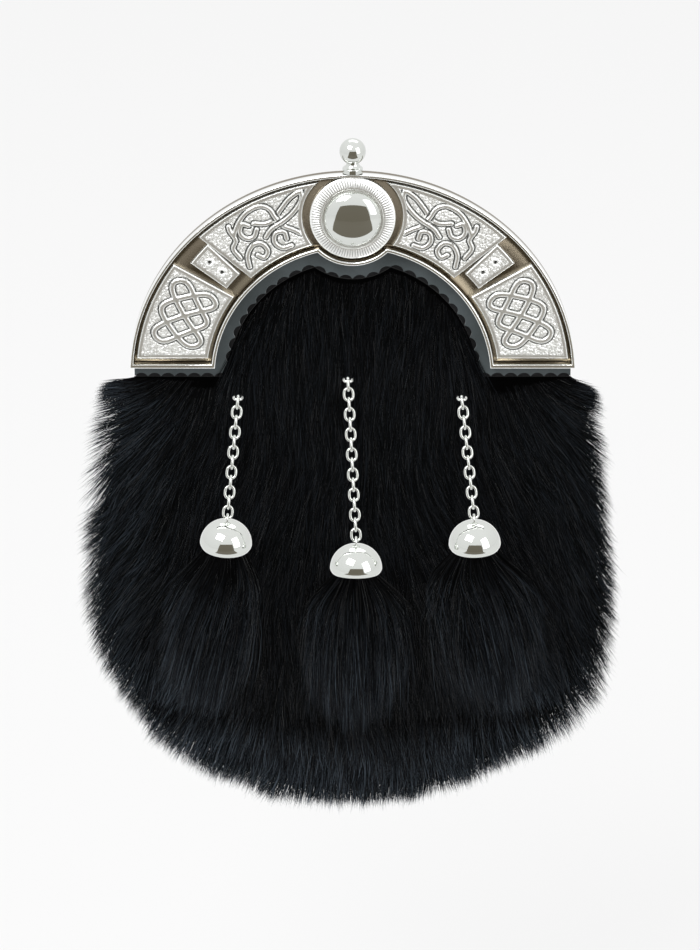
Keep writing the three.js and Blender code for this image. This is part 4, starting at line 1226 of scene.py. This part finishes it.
# Smooth random field over X and Z
def valueNoise(x, z, cell, rng):
    table = rng.random((64, 64)) * 2 - 1
    u, v = x / cell + 200.0, z / cell + 200.0
    i, j = np.floor(u).astype(int), np.floor(v).astype(int)
    fu, fv = smoothStep(0, 1, u - i), smoothStep(0, 1, v - j)

    def at(a, b):
        return table[a % 64, b % 64]

    near = at(i, j) * (1 - fu) + at(i + 1, j) * fu
    far = at(i, j + 1) * (1 - fu) + at(i + 1, j + 1) * fu
    return near * (1 - fv) + far * fv


coat = {
    "pieces": 3, "hairs": 28000, "seed": 5, "length": (15.0, 28.0), "width": (0.15, 0.33), "rise": (1.2, 6.0),
    "splay": 40.0, "cornerSplay": 40.0, "overhang": (7.0, 10.0), "uneven": 0.9, "clumpCell": 3.6,
    "clumpPull": 0.62, "wander": 13.0, "underEdging": 5.0, "paintedSheenWide": 26.0, "fromEdging": 0.2,
}
# Extra length past the hide, in mm, by angle in degrees about the belly: 0 is right, 90 is down, 180 is left
furtherOut = [
    (-60, -0.5), (-45, 0.0), (-40, -1.0), (-32, -2.0), (-24, -3.0), (-12, -2.0), (3, 0.5), (14, 2.5),
    (22, 7.0), (28, 8.0), (36, 7.0), (44, 4.0), (52, 1.5), (62, 0.5), (75, 0.5), (92, 0.5), (104, 2.5),
    (118, 1.5), (128, 2.5), (135, 3.5), (146, 1.5), (155, 0.0), (170, 2.0), (195, 2.5), (215, 4.5), (240, 1.0),
]


# Inner edge of the pinked leather, or a line beside it, from the right foot over the boss to the left foot
def innerEdge(margin, steps):
    inner, bulge = arch["inner"] - edging["wide"] - margin, arch["bossBulge"] + edging["wide"] + margin
    foot = arch["foot"] - edging["belowFoot"] - margin
    innerFrom = math.degrees(math.asin((foot + edging["drop"]) / inner))
    notch, bulgeFrom = bossJunction(inner, bulge)
    centreZ = arch["centreZ"] - edging["drop"]
    return np.concatenate([
        arcPoints(0, centreZ, inner, inner, innerFrom, 90 - notch, steps),
        arcPoints(0, centreZ + arch["bossUp"], bulge, bulge, bulgeFrom, -180 - bulgeFrom, steps)[1:-1],
        arcPoints(0, centreZ, inner, inner, 90 + notch, 180 - innerFrom, steps),
    ])


# Where the coat shows: inside the pinked edging and below the cantle's feet, within the hide
def furAreaOutline(margin):
    body = pouchOutline(0)
    topZ = arch["centreZ"] + arch["foot"] - edging["belowFoot"] - margin
    body = body[body[:, 1] < topZ]
    corner = np.array([[body[-1, 0], topZ]])
    return np.concatenate([body, corner, innerEdge(margin, 40), corner * np.array([-1, 1])])


# Distance below or inside the pinked edging, on the coat's side
def edgingDistance(points):
    edge = innerEdge(0, 30)
    far = np.array([[120.0, edge[0, 1]]])
    return distanceTo(points, np.concatenate([far, edge, far * np.array([-1, 1])]))[0]


# The most that the coat may rise over its base, where chains, caps and tassels lie on it
def pressedTo(x, z):
    room = np.full(len(x), 99.0)
    for tassel in tassels:
        top, bottom = chainLine(tassel)
        share = np.clip((top[2] - z) / (top[2] - bottom[2]), -0.1, 1.0)
        lineX = top[0] + (bottom[0] - top[0]) * share
        lineY = top[1] + (bottom[1] - top[1]) * share
        away = np.abs(x - lineX)
        onChain = (z < top[2] + 1) & (z > bottom[2] - 2)
        limit = hideFront(x, z) - lineY - 2.6 + np.maximum(0, away - 2.4) * 1.2
        room = np.where(onChain & (away < 9), np.minimum(room, np.maximum(limit, -1.2)), room)
        origin, _ = tasselFrame(tassel)
        below = origin[2] - z
        half = tassel["half"] * smoothStep(-4, 40, below) + 8
        away = np.abs(x - origin[0] - tassel["swing"] * (np.clip(below, 0, 70) / 70) ** 2)
        under = (below > -11) & (below < tassel["length"])
        limit = 0.6 + np.maximum(0, away - half + 3) * 0.9
        room = np.where(under & (away < half + 6), np.minimum(room, limit), room)
    return room


def scattered(x, z, cell, seed):
    return valueNoise(x, z, cell, np.random.default_rng(seed))


# The way each hair lies: down, outwards towards the sides, and wandering a little
def hairFlow(x, z, rng):
    footZ = arch["centreZ"] + arch["foot"] - edging["belowFoot"]
    inArch = (z > footZ - 12) & (np.abs(x) < arch["inner"])
    splay = coat["splay"] * x / pouch["halfWidth"] * np.where(inArch, 0.45, 1.0)
    corner = smoothStep(52, 84, np.abs(x)) * smoothStep(footZ - 40, footZ - 6, z)
    splay = splay + np.sign(x) * corner * coat["cornerSplay"]
    wander = coat["wander"] * (scattered(x, z, 26, 71) + 0.8 * scattered(x, z, 9, 72))
    turn = np.radians(splay + wander + rng.normal(0, 6.5, len(x)))
    return np.stack([np.sin(turn), -np.cos(turn)], 1)


# Length of each hair: hairs near the edge are cut to hang past the hide by their own short length
def hairLength(points, flow, hull, rng):
    x, z = points.T
    count = len(points)
    shortest, longest = coat["length"]
    length = shortest + (longest - shortest) * rng.random(count) ** 0.8
    least, most = coat["overhang"]
    hang = least + (most - least) * rng.random(count) + coat["uneven"] * scattered(x, z, 7, 73)
    angle = np.degrees(np.arctan2(arch["centreZ"] + pouch["bellyZ"] - z, x))
    angle = np.where(angle < -90, angle + 360, angle)
    hang += np.interp(angle, *np.array(furtherOut, float).T) + np.where(rng.random(count) < 0.02, 1.5, 0.0)
    for _ in range(3):
        past = beyond(points + flow * length[:, None], hull) - hang
        length = np.maximum(length - np.maximum(past, 0) * 1.15, 3.0)
    return length


# How far each hair is drawn sideways to the middle of its clump
def clumpPull(x, z, clumpShift):
    wide, tall = coat["clumpCell"], coat["clumpCell"] * 1.6
    cellX, cellZ = np.floor(x / wide).astype(int), np.floor(z / tall).astype(int)
    key = (cellX * 73 + cellZ * 151) % clumpShift.shape[1]
    centreX = (cellX + 0.5) * wide + clumpShift[0, key] * 1.1
    centreZ = (cellZ + 0.5) * tall + clumpShift[1, key] * 1.6
    return np.stack([centreX - x, centreZ - z], 1) * coat["clumpPull"]


# The bluish painted sheen of the coat, laid into the colour of the hair tips: strongest at the left edge and
# along the bottom
def paintedSheenAt(x, z, hull):
    inward = np.maximum(-beyond(np.stack([x, z], 1), hull), 0)
    edge = 1 - smoothStep(0, coat["paintedSheenWide"], inward)
    left = smoothStep(20, -70, x)
    low = smoothStep(arch["centreZ"] - 110, arch["centreZ"] - 160, z)
    return edge * np.clip(0.1 + 0.3 * left + 0.75 * low, 0, 1)


# Places close along the pinked edging, where hair comes out from under the leather
def besideEdging(count, area, rng):
    edge = innerEdge(0, 60)
    far = np.array([[pouch["halfWidth"], edge[0, 1]]])
    line = np.concatenate([far, edge, far * np.array([-1, 1])])
    along = np.concatenate([[0], np.cumsum(np.hypot(*(line[1:] - line[:-1]).T))])
    at = rng.random(count * 3) * along[-1]
    places = np.stack([np.interp(at, along, line[:, k]) for k in (0, 1)], 1)
    places = places + rng.normal(0, 1.6, places.shape)
    return places[insideOf(places, area)][:count]


# One part of the coat, as a mesh of hairs
def coatPiece(name, area, hull, hairs, clumpShift, rng):
    low, high = area.min(0), area.max(0)
    points = rng.random((int(hairs * 1.9), 2)) * (high - low) + low
    points = points[insideOf(points, area)][:hairs]
    points = np.concatenate([points, besideEdging(int(hairs * coat["fromEdging"]), area, rng)])
    x, z = points.T
    count = len(points)
    flow = hairFlow(x, z, rng)
    length = hairLength(points, flow, hull, rng)
    innerZ = arch["centreZ"] - edging["drop"]
    tip = points + flow * length[:, None]
    pastArch = np.hypot(tip[:, 0], tip[:, 1] - innerZ) > arch["inner"] - edging["wide"] + 0.6
    flow[pastArch & (tip[:, 1] > innerZ)] = [0.0, -1.0]
    layer = rng.random(count)
    least, most = coat["rise"]
    depth = fur["base"] - fur["hide"]
    rise = least + (most - least) * layer ** 0.9 + depth - 2.0
    rise *= 0.5 + 0.5 * smoothStep(0, coat["underEdging"], edgingDistance(points))
    further = points + flow * length[:, None] * 0.6
    room = np.minimum(pressedTo(x, z), pressedTo(*further.T)) + depth
    rise = np.minimum(rise, np.maximum(room * (0.55 + 0.45 * layer), 0.5))
    pull = clumpPull(x, z, clumpShift)
    skinY = boardFrontY - layers["gap"] - fur["hide"] + 0.4
    path = []
    for share in np.linspace(0, 1, 4):
        flat = points + flow * (length * share)[:, None] + pull * share ** 1.4
        up = rise * (1 - (1 - share) ** 2.2) * (1 - 0.22 * share ** 3)
        drop = 2.2 * smoothStep(0, 9, beyond(flat, hull)) if share > 0.3 else 0.0
        y = skinY - bulgeAt(flat[:, 0], flat[:, 1]) - up + drop
        path.append(np.stack([flat[:, 0], y, flat[:, 1]], 1))
    path = np.stack(path, 1)
    slope = 2 * pouch["bellyHeight"] / pouch["bellyRadius"] ** 2
    bellyZ = arch["centreZ"] + pouch["bellyZ"]
    facing = np.stack([slope * x, -np.ones(count), slope * (z - bellyZ)], 1) + rng.normal(0, 0.2, (count, 3))
    narrow, wide = coat["width"]
    width = narrow + (wide - narrow) * rng.random(count)
    shape = Shape()
    strands(shape, path, width, unit(facing), rng, sheen=paintedSheenAt(path[:, -1, 0], path[:, -1, 2], hull))
    finished(shape, name, "hair", ["fur_front"], sharp=0)


# The long-haired hide on the front: a thin dark skin with hair that lies down and outwards
def makeCoat():
    area = furAreaOutline(layers["gap"])
    skin = Shape()
    skinBackY = boardFrontY - layers["gap"]
    bulgedSheet(skin, area, skinBackY, skinBackY - fur["hide"], 24, 0.3)
    finished(skin, "furHide", "hair", ["fur_front"])
    rng = np.random.default_rng(coat["seed"])
    body = pouchOutline(0)
    hull = np.concatenate([body, archArc(body[-1, 0], arch["outerZ"], 8, 172, 40)])
    clumpShift = rng.random((2, 4096)) * 2 - 1
    hairs = coat["hairs"]
    for piece in range(coat["pieces"]):
        coatPiece(f"furCoat{piece + 1}", area, hull, hairs, clumpShift, rng)


brush = {
    "hairs": 5800, "rootRadius": 7.3, "width": (0.18, 0.37), "depth": 0.42, "clumps": 46, "clumpPull": 0.4,
    "rows": 5, "forward": 2.6, "heart": 0.6, "heartSides": 20, "sheen": (0.1, 0.75), "shortest": 0.4,
    "outer": 0.7, "flare": 4.5,
}


# Centres of hairs at a share of their length, in their tassel's frame
def inBrush(tassel, share, angle, reach, length):
    root = brush["rootRadius"]
    swell = math.sin(min(share * 1.35, 1) * math.pi / 2) ** 1.15
    swell *= 1 - 0.16 * smoothStep(0.7, 1.0, share)
    out = reach * (root * 0.95 + (tassel["half"] * 0.98 - root) * swell)
    flatten = 1 + (brush["depth"] - 1) * smoothStep(0.0, 0.3, share)
    forward = brush["forward"] * min(1, 2.5 * share)
    leanBack = math.tan(math.radians(tassel["lean"]))
    return np.stack([
        np.cos(angle) * out + tassel["swing"] * share ** 2,
        np.sin(angle) * out * flatten - forward + leanBack * length * share,
        1.0 - cap["tuck"] - length * share,
    ], -1)


# A brush of long hair round a dark heart, a core of painted shade inside the brush: it leaves the cap close
# together, swells and ends ragged
def makeTasselFur(tassel):
    origin, turn = tasselFrame(tassel)
    rng = np.random.default_rng(tassel["seed"])
    hairs = brush["hairs"]
    angle = rng.random(hairs) * 2 * math.pi
    reach = rng.random(hairs) ** 0.45
    length = tassel["length"] * (0.72 + 0.3 * rng.random(hairs) ** 0.7) * (1 - 0.1 * reach)
    clumpAngle = rng.random(brush["clumps"]) * 2 * math.pi
    clumpReach = rng.random(brush["clumps"]) ** 0.5
    clumpLength = rng.random(brush["clumps"]) * 0.16 - 0.1
    spot = np.stack([np.cos(angle) * reach, np.sin(angle) * reach], 1)
    centres = np.stack([np.cos(clumpAngle) * clumpReach, np.sin(clumpAngle) * clumpReach], 1)
    nearest = np.argmin(((spot[:, None] - centres[None]) ** 2).sum(-1), 1)
    length = length * (1 + clumpLength[nearest])
    outer = reach > brush["outer"]
    shorter = brush["shortest"] + (1 - brush["shortest"]) * rng.random(hairs)
    length = np.where(outer, length * shorter, length)
    stray = rng.normal(0, 1, (hairs, 2))
    flare = np.where(outer, brush["flare"], 0.8) * rng.random(hairs)
    path = []
    for share in np.linspace(0, 1, brush["rows"] + 1):
        pull = brush["clumpPull"] * smoothStep(0.2, 1.0, share)
        mixed = spot + (centres[nearest] - spot) * pull
        place = inBrush(tassel, share, np.arctan2(mixed[:, 1], mixed[:, 0]), np.hypot(*mixed.T), length)
        place[:, 0] += (stray[:, 0] * 1.5 + np.cos(angle) * flare) * share ** 2
        place[:, 1] += stray[:, 1] * 0.7 * share ** 2
        path.append(place)
    path = np.stack(path, 1) @ turn.T + origin
    facing = unit(np.stack([np.cos(angle) * 0.8, -0.9 + 0.5 * np.sin(angle), np.full(hairs, 0.1)], 1))
    narrow, wide = brush["width"]
    width = narrow + (wide - narrow) * rng.random(hairs)
    shape = Shape()
    # Painted sheen on the tassel's hairs, more on the longer ones
    least, most = brush["sheen"]
    low = np.clip(length / tassel["length"], 0, 1) ** 2
    strands(shape, path, width, facing, rng, sheen=least + (most - least) * low * rng.random(hairs) ** 2)
    sides = brush["heartSides"]
    turns, whole = np.linspace(0, 2 * math.pi, sides, endpoint=False), np.full(sides, tassel["length"])
    rings = []
    for share in np.linspace(0.0, 0.8, 12):
        close = brush["heart"] * (1 - 0.85 * smoothStep(0.5, 0.8, share))
        rings.append(inBrush(tassel, share, turns, np.full(sides, close), whole))
    # along and chance give the heart the darkest root tone: painted shade that also hides the coat behind
    loft(shape, np.array(rings) @ turn.T + origin, along=0.1, chance=0.1)
    name = tassel["name"]
    return finished(shape, "furTassel" + name.title(), "hair", ["tassel_fur_" + name], sharp=0)


makeCoat()
print("coat built")
for tassel in tassels:
    makeTasselFur(tassel)
print("tassels built")


# Studio

studio = {
    "aim": (-0.00096, -0.0275, -0.06105), "elevation": 24.0, "distance": 1.2, "lens": 164.2,
    "floorZ": -0.36, "floorColour": (0.14, 0.14, 0.14, 1), "floorGlow": 0.715, "worldTop": 1.04,
    "worldLow": 0.92, "sensor": 36.0,
}
# A brown card that only mirror reflections see: it lies before the pouch and stands up behind the camera
card = {
    "colour": (0.17, 0.15, 0.115, 1), "near": 0.34, "far": 1.3, "top": 0.42, "aboveFloor": 0.004,
    "nearHalf": 0.40, "farHalf": 0.9, "topLeft": -0.65, "topRight": 0.75,
}
# Softboxes in metres and watts
softboxes = [
    {"name": "keySoftbox", "place": (-0.7, -0.9, 1.3), "target": (0, 0, -0.03), "size": (1, 0.8), "power": 22},
    {"name": "fillSoftbox", "place": (1.1, -0.9, 0.5), "target": (0, 0, -0.06), "size": (0.8, 1.2), "power": 6},
    {"name": "topSoftbox", "place": (0.1, 0.7, 1.2), "target": (0, 0, 0), "size": (1.2, 0.6), "power": 4},
]


def plainMaterial(name, colour, glowColour, glow):
    made, _, shader = newMaterial(name)
    shader.inputs["Base Color"].default_value = colour
    shader.inputs["Roughness"].default_value = 0.9
    shader.inputs["Emission Color"].default_value = glowColour
    shader.inputs["Emission Strength"].default_value = glow
    return made


def stageSheet(name, corners, material):
    data = bpy.data.meshes.new(name)
    data.from_pydata(corners, [], [tuple(range(len(corners)))])
    data.materials.append(material)
    made = bpy.data.objects.new(name, data)
    bpy.context.scene.collection.objects.link(made)
    return made


def areaLight(name, place, target, size, power):
    data = bpy.data.lights.new(name, "AREA")
    data.shape = "RECTANGLE"
    data.size, data.size_y = size
    data.energy = power
    made = bpy.data.objects.new(name, data)
    made.location = place
    made.rotation_euler = (Vector(target) - Vector(place)).to_track_quat("-Z", "Y").to_euler()
    bpy.context.scene.collection.objects.link(made)
    return made


def layCards():
    near, far, top = card["near"], card["far"], card["top"]
    nearHalf, farHalf = card["nearHalf"], card["farHalf"]
    low = studio["floorZ"] + card["aboveFloor"]
    paper = plainMaterial("cardPaper", (0, 0, 0, 1), card["colour"], 1.0)
    lying = [(-nearHalf, -near, low), (nearHalf, -near, low), (farHalf, -far, low), (-farHalf, -far, low)]
    standing = [(-farHalf, -far, low), (farHalf, -far, low), (card["topRight"], -far, top),
                (card["topLeft"], -far, top)]
    for name, corners in (("cardLying", lying), ("cardStanding", standing)):
        made = stageSheet(name, corners, paper)
        made.visible_camera = False
        made.visible_diffuse = False
        made.visible_shadow = False
        made.visible_transmission = False


# An even white room, a little brighter overhead
def buildWorld():
    world = bpy.data.worlds.new("studioWorld")
    bpy.context.scene.world = world
    world.use_nodes = True
    tree = world.node_tree
    background = tree.nodes["Background"]
    background.inputs["Color"].default_value = (1, 1, 1, 1)
    place = addNode(tree, "ShaderNodeTexCoord").outputs["Generated"]
    split = addNode(tree, "ShaderNodeSeparateXYZ")
    tree.links.new(place, split.inputs[0])
    glow = rampNode(tree, split.outputs["Z"], -0.15, 0.9, studio["worldLow"], studio["worldTop"])
    tree.links.new(glow, background.inputs["Strength"])


def placeCamera():
    elevation = math.radians(studio["elevation"])
    forward = Vector((0, math.cos(elevation), -math.sin(elevation)))
    data = bpy.data.cameras.new("photoCamera")
    data.sensor_fit = "HORIZONTAL"
    data.sensor_width = studio["sensor"]
    data.lens = studio["lens"]
    camera = bpy.data.objects.new("photoCamera", data)
    camera.location = Vector(studio["aim"]) - forward * studio["distance"]
    camera.rotation_euler = forward.to_track_quat("-Z", "Y").to_euler()
    bpy.context.scene.collection.objects.link(camera)
    bpy.context.scene.camera = camera


def buildStudio():
    bpy.context.scene.view_settings.view_transform = "Standard"
    floorZ = studio["floorZ"]
    floor = [(-4, -4, floorZ), (4, -4, floorZ), (4, 6, floorZ), (-4, 6, floorZ)]
    paper = plainMaterial("floorPaper", studio["floorColour"], (1, 1, 1, 1), studio["floorGlow"])
    stageSheet("studioFloor", floor, paper)
    layCards()
    buildWorld()
    for softbox in softboxes:
        areaLight(**softbox)
    placeCamera()


buildStudio()
print("studio built")
